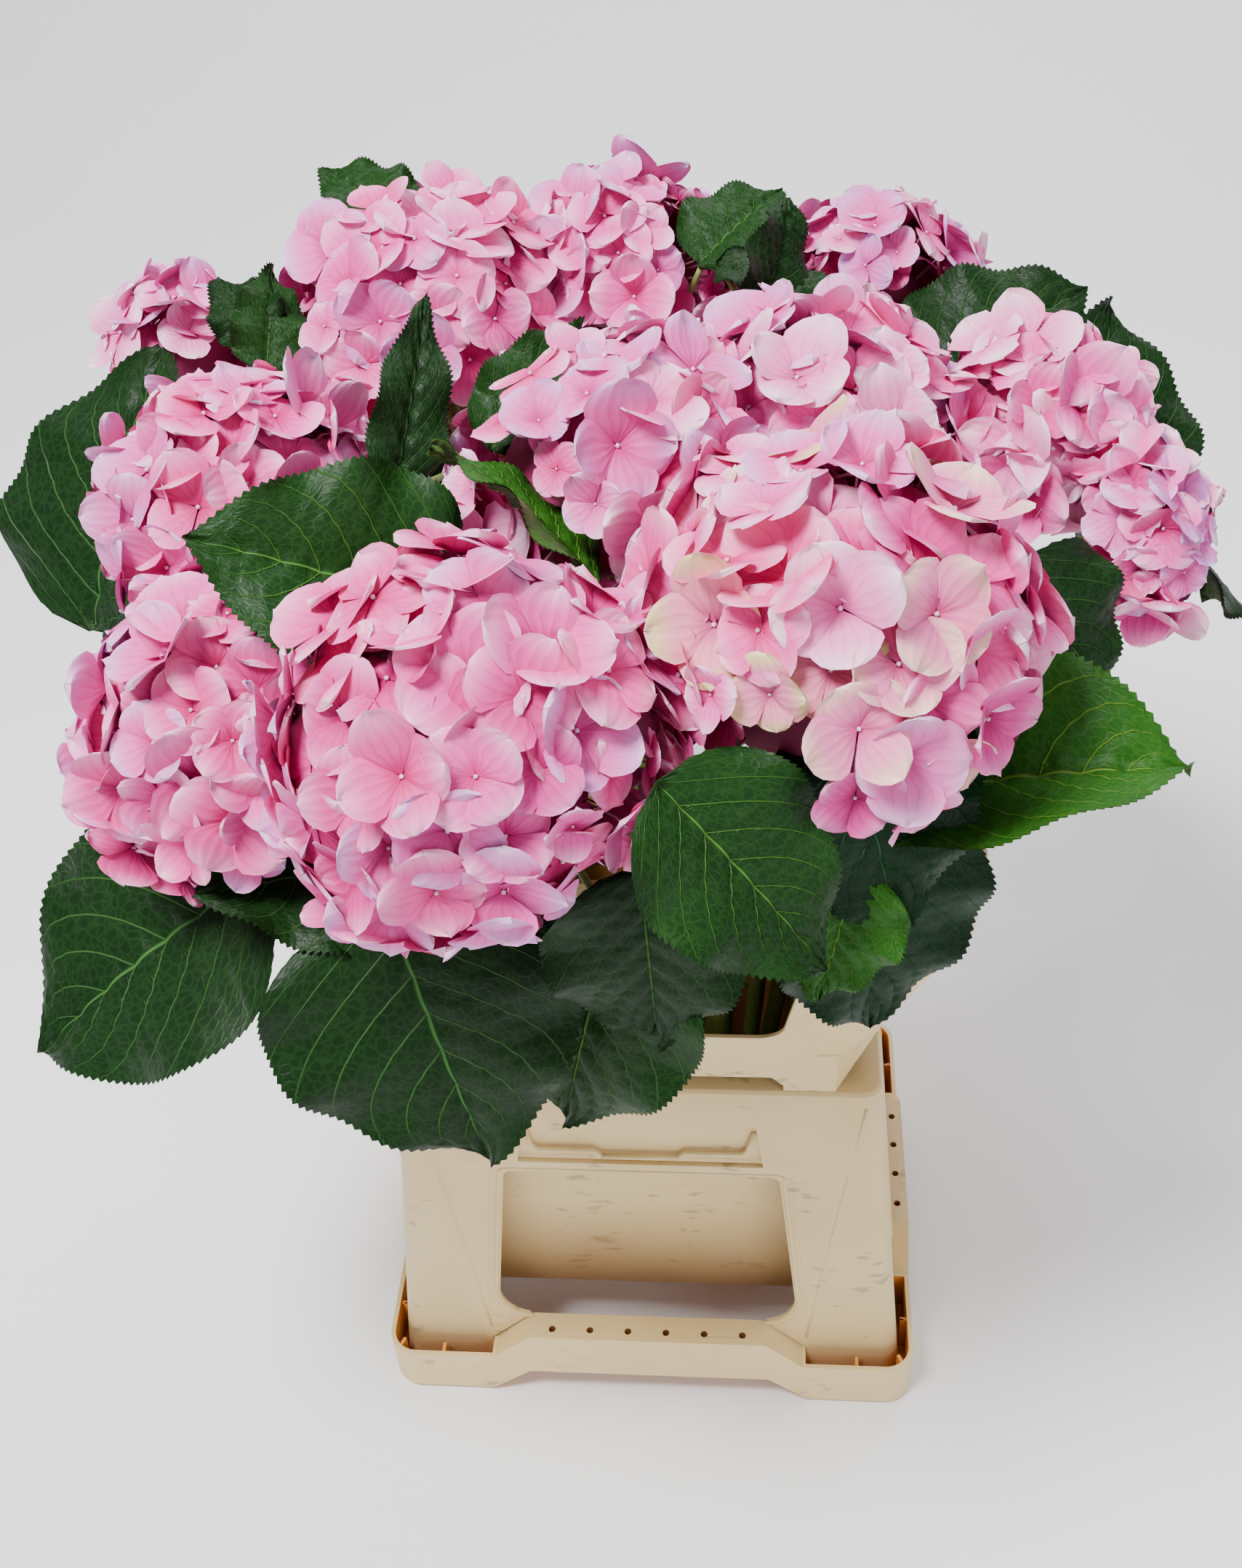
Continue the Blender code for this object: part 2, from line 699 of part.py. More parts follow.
def build_collar(group, skin):
    collar = loft("collar", collar_levels(0.0, COLLAR_FOOT, COLLAR_TOP), group)
    hollow = loft("hollow", collar_levels(COLLAR_WALL, COLLAR_FOOT - OVER, COLLAR_TOP + OVER), group)
    low = COLLAR_FOOT - OVER
    foot = [(COLLAR_X0 - COLLAR_CORNER, low), (COLLAR_X0 - COLLAR_CORNER, COLLAR_FOOT)]
    foot += [(COLLAR_X0 - 0.001, POST_CUT_Z), (FAR, POST_CUT_Z), (FAR, low)]
    cutters = [
        hollow,
        prism("window", collar_window(POST_HALF_X), -FAR, FAR, "Y", group),
        prism("window", collar_window(POST_HALF_Y), -FAR, FAR, "X", group),
        prism("slot", collar_slot(POST_HALF_X), -FAR, FAR, "Y", group),
        prism("slot", collar_slot(POST_HALF_Y), -FAR, FAR, "X", group),
        prism("foot", foot, -FAR, FAR, "Y", group),
        prism("foot", [(-a, b) for a, b in foot], -FAR, FAR, "Y", group),
    ]
    for sign in (-1, 1):
        for shift, low, high in COLLAR_SEAMS:
            seam = sign * (POST_HALF_X + shift)
            cutters.append(box("seam", (seam - GAP / 2, -FAR, low), (seam + GAP / 2, FAR, high), group))
            seam = sign * (POST_HALF_Y + shift)
            cutters.append(box("seam", (-FAR, seam - GAP / 2, low), (FAR, seam + GAP / 2, high), group))
    combined(collar, cutters, "DIFFERENCE")
    made = []
    for part in islands(collar, group):
        spot = middle_of(part)
        across = "right" if spot.x > 0 else "left"
        along = "back" if spot.y > 0 else "front"
        if abs(spot.x) > 0.07 and abs(spot.y) > 0.05:
            part.name = "collar_post_" + along + "_" + across
        else:
            side = across if abs(spot.x) > abs(spot.y) else along
            part.name = ("collar_cuff_" if spot.z > 0.35 else "collar_sill_") + side
        finish(part, skin)
        made.append(part)
    return made


def finish(item, skin):
    item.data.materials.clear()
    item.data.materials.append(skin)


# Plant


def head_frame(key):
    """Middle, radius, bend and neck of one stem and the way its head looks."""
    x, y, z, radius, count = HEADS[key]
    middle = Vector((x, y, z))
    bend = Vector((
        max(-BEND_X, min(BEND_X, x * STEM_BEND_SPREAD)),
        max(-BEND_Y, min(BEND_Y, y * STEM_BEND_SPREAD)),
        STEM_BEND_Z + BEND_RISE.get(key, 0.0),
    ))
    axis = (middle - bend).normalized()
    neck = middle - axis * radius * 0.55
    foot_x = max(-FOOT_X, min(FOOT_X, x * STEM_SPREAD)) + FOOT_SHIFT.get(key, 0.0)
    foot_y = max(-FOOT_Y, min(FOOT_Y, y * STEM_SPREAD))
    foot = Vector((foot_x, foot_y, TUB_FLOOR + TUB_WALL + GAP))
    return Head(middle, radius, axis, neck, bend, foot)


def stem_point(key, part):
    """Smooth line from the floor of the tub, bent outwards over the collar, to the neck of the head."""
    head = head_frame(key)
    keep = 1.0 - part
    return head.foot * keep * keep + head.bend * 2.0 * keep * part + head.neck * part * part


def stem_split(key):
    """Where along its line the stem ends and the mass begins."""
    length = 0.0
    part = 1.0
    last = stem_point(key, 1.0)
    while length < MASS_STEM:
        part -= 0.005
        spot = stem_point(key, part)
        length += (spot - last).length
        last = spot
    return part


def stem_way(key):
    """Direction of a stem where it ends and its mass begins."""
    end = stem_split(key)
    return (stem_point(key, end + 0.01) - stem_point(key, end - 0.01)).normalized()


def build_stem(key, group, skin):
    end = stem_split(key)
    knots = 5
    points = [stem_point(key, end * i / (knots - 1)) for i in range(knots)]
    points[-1] = stem_point(key, end) - stem_way(key) * STEM_END
    points.append(stem_point(key, end))
    points[1:1] = [points[0] + Vector((0.0, 0.0, STEM_UPRIGHT))]
    knots = len(points)
    radii = [STEM_R0 + (STEM_R1 - STEM_R0) * i / (knots - 1) for i in range(knots)]
    stem = tube("stem_" + key, points, radii, group, around=1)
    finish(stem, skin)
    return stem


def core_shape(key, group):
    """Dense inside of a head, a little flattened along the way it looks."""
    head = head_frame(key)
    bm = bmesh.new()
    bmesh.ops.create_icosphere(bm, subdivisions=1, radius=head.radius * CORE_PART)
    turn = head.axis.to_track_quat("Z", "Y").to_matrix()
    for vert in bm.verts:
        spot = vert.co.copy()
        spot.z *= DOME_FLAT if spot.z > 0 else 0.75
        vert.co = head.middle + turn @ spot
    return add_object("core", mesh_from(bm, "core"), group)


def floret_spots(key, rng):
    """Golden angle spiral over the dome: middle, outward way, size, spin."""
    count = HEADS[key][4]
    head = head_frame(key)
    turn = head.axis.to_track_quat("Z", "Y").to_matrix()
    edge = math.cos(math.radians(DOME_SWEEP))
    spots = []
    for i in range(count):
        rise = 1.0 - (i + 0.5) / count * (1.0 - edge)
        around = i * GOLDEN
        flat = math.sqrt(max(0.0, 1.0 - rise * rise))
        way = Vector((flat * math.cos(around), flat * math.sin(around), rise))
        reach = head.radius * rng.uniform(0.88, 0.97)
        spot = Vector((way.x * reach, way.y * reach, way.z * reach * DOME_FLAT))
        size = head.radius * FLORET_PART * rng.uniform(0.92, 1.10)
        spin = rng.uniform(0.0, math.tau)
        spots.append((head.middle + turn @ spot, (turn @ way).normalized(), size, spin))
    return spots


def floret_shape(key, spot, way, size, spin, rng, group):
    """Four broad petals as one shallow funnel whose point is sunk in the core."""
    root = head_frame(key).radius * FLORET_ROOT
    bm = bmesh.new()
    bmesh.ops.create_cone(
        bm, cap_ends=True, cap_tris=False, segments=8, radius1=0.0004, radius2=size, depth=root
    )
    turn = way.to_track_quat("Z", "Y").to_matrix() @ Matrix.Rotation(spin, 3, "Z")
    for vert in bm.verts:
        place = vert.co.copy()
        flat = math.hypot(place.x, place.y)
        if flat > size * 0.5:
            around = math.atan2(place.y, place.x)
            lobe = 1.0 if round(around / (math.pi / 4.0)) % 2 == 0 else 0.76
            place.x *= lobe
            place.y *= lobe
            place.z += size * rng.uniform(-0.05, 0.16)
        place.z -= root / 2.0
        vert.co = spot + turn @ place
    bmesh.ops.remove_doubles(bm, verts=bm.verts, dist=0.001)
    bmesh.ops.triangulate(bm, faces=bm.faces)
    return add_object("floret", mesh_from(bm, "floret"), group)


def leaf_width(part, width):
    """Half width of the blade at a part of its length: broad, blunt at the foot, drawn out at the tip."""
    body = min(part / 0.95, 1.0)
    wide = 1.93 * body ** 0.55 * (1.0 - body) ** 0.70
    tip = 0.16 * max(0.0, 1.0 - part) / 0.12
    return width / 2.0 * max(wide, min(tip, 0.16))


def leaf_frame(row):
    """Frame of a blade: its foot, chord, upper side, length and width, its bend and its fold."""
    key, turn, out, high, head_turn, head_rise, length, width, roll, fold = row
    tip = direction(turn, 0.0) * out / 1000.0 + Vector((0.0, 0.0, high / 1000.0))
    chord = direction(head_turn, head_rise)
    light = direction(turn, 0.0) * 0.35 + LEAF_LIGHT
    upper = (light - chord * light.dot(chord)).normalized()
    upper = Matrix.Rotation(math.radians(roll), 3, chord) @ upper
    bend = math.radians(LEAF_BEND)
    size = length / 1000.0
    foot = tip - chord * size * math.sin(bend / 2.0) / (bend / 2.0)
    return Blade(foot, chord, upper, size, width / 1000.0, bend, math.radians(fold))


def direction(turn, rise):
    a = math.radians(turn)
    b = math.radians(rise)
    return Vector((math.cos(a) * math.cos(b), math.sin(a) * math.cos(b), math.sin(b)))


def leaf_point(blade, part, across, lift):
    """Point of the blade: part along the midrib, across it, and lifted off its upper side."""
    half = blade.bend / 2.0
    turn = half - blade.bend * part
    along = blade.size * (math.sin(half) - math.sin(turn)) / blade.bend
    high = blade.size * (math.cos(turn) - math.cos(half)) / blade.bend
    side = blade.chord.cross(blade.upper) * math.cos(blade.fold)
    normal = blade.upper * math.cos(turn) - blade.chord * math.sin(turn)
    rise = abs(across) * math.sin(blade.fold)
    return blade.foot + blade.chord * along + blade.upper * high + side * across + normal * (lift + rise)


def leaf_shape(blade, group):
    """Thin closed blade: a four sided ball drawn out flat, with coarse teeth along its edge."""
    rings = len(LEAF_LEVELS) - 1
    bm = bmesh.new()
    bmesh.ops.create_uvsphere(bm, u_segments=4, v_segments=rings, radius=1.0)
    thick = blade.size * LEAF_THICK
    for vert in bm.verts:
        level = round(math.acos(max(-1.0, min(1.0, vert.co.z))) / math.pi * rings)
        part = LEAF_LEVELS[level]
        if level in (0, rings):
            across, lift = 0.0, 0.0
        elif abs(vert.co.x) > abs(vert.co.y):
            tooth = LEAF_TEETH[(level + 1) % 2]
            across = math.copysign(leaf_width(part, blade.width) * tooth, vert.co.x)
            lift = 0.0
        else:
            across = 0.0
            lift = math.copysign(thick / 2.0, vert.co.y)
        vert.co = leaf_point(blade, part, across, lift)
    return add_object("leaf", mesh_from(bm, "leaf"), group)


def skirt_rows(key):
    """Leaves that the front does not show: round each outer back stem, pointing out and down."""
    x, y, z, radius, count = HEADS[key]
    rows = []
    out = math.degrees(math.atan2(y, x))
    for i, extra in enumerate(SKIRT.get(key, ())):
        turn = out + extra
        rise = -44.0 - 10.0 * (i % 2)
        tip = Vector((x, y, z)) + direction(turn, rise) * (radius + 0.058)
        around = math.degrees(math.atan2(tip.y, tip.x))
        flat = 1000.0 * math.hypot(tip.x, tip.y)
        rows.append((key, around, flat, 1000.0 * tip.z, turn, rise - 6.0, 108, 96, 0, 12))
    return rows


def both_trees(item, grow):
    """Search trees of a piece as it is and grown a little, so that neighbours keep a gap."""
    return [tree_of(item, 1.0), tree_of(item, grow)]


def meets(item, grow, trees):
    return any(tree.overlap(other) for tree in both_trees(item, grow) for other in trees)


def nearest_head(spot):
    """Head whose round space holds the spot: heads that crowd each other share along a plane."""
    def depth(key):
        x, y, z, radius, count = HEADS[key]
        return (spot - Vector((x, y, z))).length_squared - radius ** 2
    return min(HEADS, key=depth)


def place_leaves(rows, pieces, trees, fixed, group):
    """Puts each leaf on its own stem, or on a neighbour's, where blade and stalk touch no other mass."""
    left_out = []
    for row in rows:
        tip = direction(row[1], 0.0) * row[2] / 1000.0 + Vector((0.0, 0.0, row[3] / 1000.0))
        near = sorted(HEADS, key=lambda key: (Vector(HEADS[key][:3]) - tip).length)
        owners = [row[0]] + [key for key in near if key != row[0]][:3]
        placed = None
        for owner in owners:
            others = fixed + [t for key in HEADS if key != owner for t in trees[key]]
            placed = place_leaf(row, owner, others, group)
            if placed is not None:
                leaf, stalk = placed
                pieces[owner] += [leaf, stalk]
                trees[owner] += both_trees(leaf, CLEAR_LEAF) + both_trees(stalk, CLEAR_LEAF)
                break
        if placed is None:
            left_out.append(row)
    return left_out


def place_leaf(row, owner, others, group):
    """First clear leaf with its stalk: whole or smaller, in its place or slid aside."""
    drawn = leaf_frame(row)
    for share, slide in itertools.product(SHARES, SLIDES):
        foot = drawn.foot + drawn.chord * drawn.size * (1.0 - share) + drawn.upper * slide / 1000.0
        blade = drawn._replace(foot=foot, size=drawn.size * share, width=drawn.width * share)
        leaf = leaf_shape(blade, group)
        if meets(leaf, CLEAR_LEAF, others):
            bpy.data.objects.remove(leaf)
            continue
        stalk = petiole(owner, blade, others, group)
        if stalk is None:
            bpy.data.objects.remove(leaf)
            continue
        return leaf, stalk
    return None


def mass_stem(key, group):
    """Top of a stem, which carries the mass: it starts 0.3 mm clear of the stem below."""
    head = head_frame(key)
    begin = stem_split(key)
    ahead = stem_way(key)
    start = stem_point(key, begin) + ahead * GAP
    points = [start, start + ahead * STEM_END]
    points += [stem_point(key, begin + (1.0 - begin) * i / 3) for i in (1, 2, 3)]
    points.append(head.neck + head.axis * head.radius * 0.25)
    radii = [STEM_R1 - 0.0001, 0.0037, 0.0036, 0.0034, 0.0034, 0.0030]
    return tube("mass", points, radii, group, around=1)


def place_florets(key, pieces, trees, fixed, rng, group):
    """Sets the florets of one head, drawn in or smaller where a neighbouring head crowds them."""
    middle = head_frame(key).middle
    others = fixed + [t for other in HEADS if other != key for t in trees[other]]
    for spot, way, size, spin in floret_spots(key, rng):
        for keep in FLORET_DEPTHS:
            held = middle + (spot - middle) * keep
            if nearest_head(held) == key:
                break
        if nearest_head(held) != key:
            continue
        for share in FLORET_SHARES:
            item = floret_shape(key, held, way, size * share, spin, rng, group)
            if meets(item, CLEAR_FLORET, others):
                bpy.data.objects.remove(item)
                continue
            pieces[key].append(item)
            trees[key] += both_trees(item, CLEAR_FLORET)
            break


def build_masses(group, fixed, skins):
    rng = random.Random(27)
    cores = {key: core_shape(key, group) for key in HEADS}
    pieces = {key: [] for key in HEADS}
    trees = {key: both_trees(item, CLEAR_FLORET) for key, item in cores.items()}
    starts = {key: mass_stem(key, group) for key in HEADS}
    for key in HEADS:
        trees[key] += both_trees(starts[key], CLEAR_LEAF)
    left_out = place_leaves(LEAVES, pieces, trees, fixed, group)
    for key in HEADS:
        place_florets(key, pieces, trees, fixed, rng, group)
    skirt = [row for key in HEADS for row in skirt_rows(key)]
    left_out += place_leaves(skirt, pieces, trees, fixed, group)
    for row in left_out:
        print("left out leaf", row)
    made = []
    for key in HEADS:
        mass = starts[key]
        mass.name = "bloom_" + key
        for item in [cores[key]] + pieces[key]:
            for vert in item.data.vertices:
                vert.co += Vector([rng.uniform(-SHAKE, SHAKE) for i in range(3)])
        combined(mass, [cores[key]] + pieces[key], "UNION", "MANIFOLD")
        parts = loose_parts(mass.data)
        if len(parts) > 1:
            mass.data = kept_part(mass.data, max(parts, key=len), mass.name)
        finish(mass, skins[int(key) % len(skins)])
        made.append(mass)
    return made


def petiole(key, blade, others, group):
    """Leaf stalk from the stem below the head to the foot of the blade, by the first clear way."""
    begin = stem_split(key)
    joint = leaf_point(blade, 0.15, 0.0, 0.0)
    for place, bow in itertools.product(STALK_ROOTS, STALK_BOWS):
        root = stem_point(key, begin + (1.0 - begin) * place)
        middle = root.lerp(blade.foot, 0.55) + Vector((0.0, 0.0, bow))
        stalk = tube("petiole", [root, middle, joint], [0.0018, 0.0015, 0.0004], group, 0)
        if not meets(stalk, CLEAR_LEAF, others):
            return stalk
        bpy.data.objects.remove(stalk)
    return None


def report(items):
    """Prints the outer box and the number of triangles."""
    corners = [vert.co for item in items for vert in item.data.vertices]
    low = [round(min(c[i] for c in corners), 5) for i in range(3)]
    high = [round(max(c[i] for c in corners), 5) for i in range(3)]
    count = sum(len(face.vertices) - 2 for item in items for face in item.data.polygons)
    print("low", low, "high", high, "triangles", count)


def main():
    clear_scene()
    group = bpy.data.collections.new("hydrangea in its container")
    bpy.context.scene.collection.children.link(group)
    cream = material("cream plastic", (0.72, 0.60, 0.43), 0.45)
    green = material("green stem", (0.16, 0.26, 0.07), 0.55)
    pinks = [
        material("pink florets", (0.80, 0.26, 0.44), 0.6),
        material("pale pink florets", (0.84, 0.36, 0.52), 0.6),
        material("deep pink florets", (0.76, 0.20, 0.38), 0.6),
    ]
    container = build_tray(group, cream)
    container += build_posts(group, cream)
    container += build_tub(group, cream)
    container += build_collar(group, cream)
    stems = [build_stem(key, group, green) for key in HEADS]
    fixed = [tree_of(item, 1.0) for item in container + stems]
    masses = build_masses(group, fixed, pinks)
    for item in container + stems + masses:
        item.data.transform(Matrix.Translation((STAND_X, STAND_Y, 0.0)))
    report(container + stems + masses)


main()
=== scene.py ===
# %% [markdown]
# # A mophead hydrangea in its cream container
#
# A mophead hydrangea carries big domed heads of florets over broad toothed leaves. Here the plant stands
# in a moulded plastic container with a slotted collar. The solids of the part give every place and size.
# This lesson dresses them: first the container, then stems, leaves and florets, then light and camera.

# %% Start from the solids
import math
import random

import bmesh
import bpy
import numpy as np
from mathutils import Matrix, Vector
from mathutils.kdtree import KDTree


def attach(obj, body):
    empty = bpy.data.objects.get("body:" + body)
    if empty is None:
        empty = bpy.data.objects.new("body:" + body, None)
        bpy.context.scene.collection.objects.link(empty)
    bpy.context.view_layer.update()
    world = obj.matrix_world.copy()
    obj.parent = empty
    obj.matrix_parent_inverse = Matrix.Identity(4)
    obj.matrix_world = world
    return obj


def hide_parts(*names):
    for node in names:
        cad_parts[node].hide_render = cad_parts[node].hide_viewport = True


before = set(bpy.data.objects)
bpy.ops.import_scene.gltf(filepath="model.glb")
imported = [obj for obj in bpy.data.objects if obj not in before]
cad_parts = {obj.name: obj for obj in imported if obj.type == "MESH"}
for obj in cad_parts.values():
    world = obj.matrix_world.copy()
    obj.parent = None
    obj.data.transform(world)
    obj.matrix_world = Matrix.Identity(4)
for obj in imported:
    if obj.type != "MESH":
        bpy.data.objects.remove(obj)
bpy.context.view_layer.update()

# %% [markdown]
# The container's own centre lies a little off the origin, because the crown above it is lopsided.
# Everything is measured from that centre and set over by STAND when its mesh is finished.

# %% The stand and the small helpers
STAND = Vector((0.01725, -0.0501, 0.0))
GAP = 0.0003
work = bpy.data.collections.new("hydrangea pieces")
bpy.context.scene.collection.children.link(work)


def linear(code):
    """Linear colour of an sRGB hex value."""
    parts = [int(code[i:i + 2], 16) / 255.0 for i in (1, 3, 5)]
    return [p / 12.92 if p <= 0.04045 else ((p + 0.055) / 1.055) ** 2.4 for p in parts] + [1.0]


def add(tree, kind, links=None, **settings):
    """Adds a node, sets its properties, and sets or links its inputs."""
    node = tree.nodes.new(kind)
    for name, value in settings.items():
        setattr(node, name, value)
    for key, value in (links or {}).items():
        if isinstance(value, bpy.types.NodeSocket):
            tree.links.new(value, node.inputs[key])
        else:
            node.inputs[key].default_value = value
    return node


def new_object(name, mesh):
    made = bpy.data.objects.new(name, mesh)
    work.objects.link(made)
    return made


def applied(item, name):
    """Plain mesh object of an object with its modifiers applied."""
    bpy.context.view_layer.update()
    graph = bpy.context.evaluated_depsgraph_get()
    mesh = bpy.data.meshes.new_from_object(item.evaluated_get(graph))
    bpy.data.objects.remove(item)
    return new_object(name, mesh)


def settle(piece, nodes, material=None):
    """Sets a finished piece on the stand, and hides the solids that it stands for."""
    piece.data.transform(Matrix.Translation(STAND))
    if material is not None:
        piece.data.materials.clear()
        piece.data.materials.append(material)
    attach(piece, "root")
    if nodes:
        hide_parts(*nodes)
    print(piece.name, len(piece.data.polygons), "faces")


# %% [markdown]
# ## Finishes
#
# The container is injection moulded polypropylene: cream, a little waxy, scuffed where it rubs against
# others. Its colour shifts slowly over a few centimetres, and fine grey scuffs run across it.

# %% Moulded cream plastic
def shader_of(name):
    made = bpy.data.materials.new(name)
    made.use_nodes = True
    return made, made.node_tree, made.node_tree.nodes["Principled BSDF"]


def moulded_plastic(name, body, shade, scuff, roughness):
    made, tree, shader = shader_of(name)
    place = add(tree, "ShaderNodeTexCoord").outputs["Object"]
    cloudy = add(tree, "ShaderNodeTexNoise", {"Vector": place, "Scale": 1 / 0.060, "Detail": 4.0})
    mixed = add(
        tree, "ShaderNodeMix",
        {"Factor": cloudy.outputs["Fac"], "A": linear(body), "B": linear(shade)},
        data_type="RGBA",
    )
    drawn = add(tree, "ShaderNodeMapping", {"Vector": place, "Scale": (70.0, 70.0, 230.0)})
    lines = add(tree, "ShaderNodeTexNoise", {"Vector": drawn.outputs[0], "Scale": 1.0, "Detail": 6.0})
    patch = add(tree, "ShaderNodeTexNoise", {"Vector": place, "Scale": 1 / 0.022, "Detail": 3.0})
    worn = add(tree, "ShaderNodeMath", {0: lines.outputs["Fac"], 1: patch.outputs["Fac"]}, operation="MULTIPLY")
    cut = add(
        tree, "ShaderNodeMapRange",
        {"Value": worn.outputs[0], "From Min": 0.355, "From Max": 0.43, "To Max": 0.55},
    )
    colour = add(
        tree, "ShaderNodeMix",
        {"Factor": cut.outputs[0], "A": mixed.outputs["Result"], "B": linear(scuff)},
        data_type="RGBA",
    )
    tree.links.new(colour.outputs["Result"], shader.inputs["Base Color"])
    grain = add(tree, "ShaderNodeTexNoise", {"Vector": place, "Scale": 1 / 0.0015, "Detail": 2.0})
    bump = add(
        tree, "ShaderNodeBump", {"Height": grain.outputs["Fac"], "Strength": 0.12, "Distance": 0.0002}
    )
    tree.links.new(bump.outputs[0], shader.inputs["Normal"])
    shader.inputs["Roughness"].default_value = roughness
    return made


cream = moulded_plastic("moulded cream polypropylene", "#ECD39E", "#DCBC7E", "#86704E", 0.42)
# painted light: an amber glow standing in for light that gathers in the thin plastic of the tray pockets
amber = moulded_plastic("thin cream polypropylene, amber where light gathers", "#F0A850", "#DE8A34", "#A86A34", 0.5)
# painted shade: a darker amber brown for inner walls, standing in for the shade and gathered light inside the
# plastic
inside = moulded_plastic("shaded inner wall of cream polypropylene", "#B88448", "#8F5A2A", "#5A3A20", 0.55)

# %% The tub wall, with painted shade turning it brown towards its foot
SHADE_LOW = 0.055
SHADE_HIGH = 0.145


def painted_shade_plastic():
    """The cream finish, with painted brown shade rising from the foot of the tub."""
    made = cream.copy()
    made.name = "moulded cream polypropylene, brown at the foot"
    tree = made.node_tree
    shader = tree.nodes["Principled BSDF"]
    clean = shader.inputs["Base Color"].links[0].from_socket
    place = add(tree, "ShaderNodeTexCoord").outputs["Object"]
    split = add(tree, "ShaderNodeSeparateXYZ", {0: place})
    uneven = add(tree, "ShaderNodeTexNoise", {"Vector": place, "Scale": 1 / 0.030, "Detail": 2.0})
    height = add(
        tree, "ShaderNodeMath", {0: uneven.outputs["Fac"], 1: 0.02, 2: split.outputs["Z"]},
        operation="MULTIPLY_ADD",
    )
    # painted shade: the cream turns brown towards the foot of the tub, for the shade under the curve of its wall
    shade_share = add(
        tree, "ShaderNodeMapRange",
        {"Value": height.outputs[0], "From Min": SHADE_HIGH, "From Max": SHADE_LOW, "To Max": 0.95},
    )
    colour = add(
        tree, "ShaderNodeMix",
        {"Factor": shade_share.outputs[0], "A": clean, "B": linear("#8C6234")}, data_type="RGBA",
    )
    tree.links.new(colour.outputs["Result"], shader.inputs["Base Color"])
    return made


painted_shade_foot = painted_shade_plastic()

# %% [markdown]
# ## Florets and leaves: finishes that follow the petal
#
# A petal's colour has its place: deep at the heart, pale at the rim, with fine veins that fan out between.
# So the pattern is drawn on the petal's own map. The map is split into sixteen tiles, every floret uses one
# of them, and each tile has its own plain tints. That is how the heads get their mix of pinks.

# %% Petals
TILES = 4
PINKS = [
    ("#C4146F", "#E84FA4", "#F899CF"), ("#CC2079", "#EC5AAB", "#F9A2D2"),
    ("#B40E62", "#DA4090", "#EC82BC"), ("#D43888", "#F06CB5", "#FAB2DA"),
    ("#C42C84", "#E462AF", "#DA9AD4"), ("#AC0A5C", "#D0347E", "#E26CA5"),
    ("#C84090", "#EC72B9", "#E8AEDB"), ("#BC3A8E", "#DC6CB6", "#CA92D6"),
    ("#D45096", "#F488C2", "#FCCCE4"), ("#CC186E", "#EE54A0", "#FB9CC8"),
    ("#CC4885", "#F284B4", "#F2C4B4"), ("#C45284", "#EC8AA8", "#DCCC8E"),
    ("#C46074", "#E09C8A", "#C4C270"), ("#A80C60", "#D23A8E", "#E67CB8"),
    ("#C62A80", "#EA64B0", "#E0A2DA"), ("#BE1469", "#E64E9A", "#F694C5"),
]


def tile_ramp(tree, number, column):
    """Plain tint of each tile, held constant across it."""
    ramp = add(tree, "ShaderNodeValToRGB", {"Fac": number})
    ramp.color_ramp.interpolation = "CONSTANT"
    stops = ramp.color_ramp.elements
    while len(stops) < len(PINKS):
        stops.new(0.5)
    for i, tints in enumerate(PINKS):
        stops[i].position = i / len(PINKS)
    for i, tints in enumerate(PINKS):
        stops[i].color = linear(tints[column])
    return ramp.outputs["Color"]


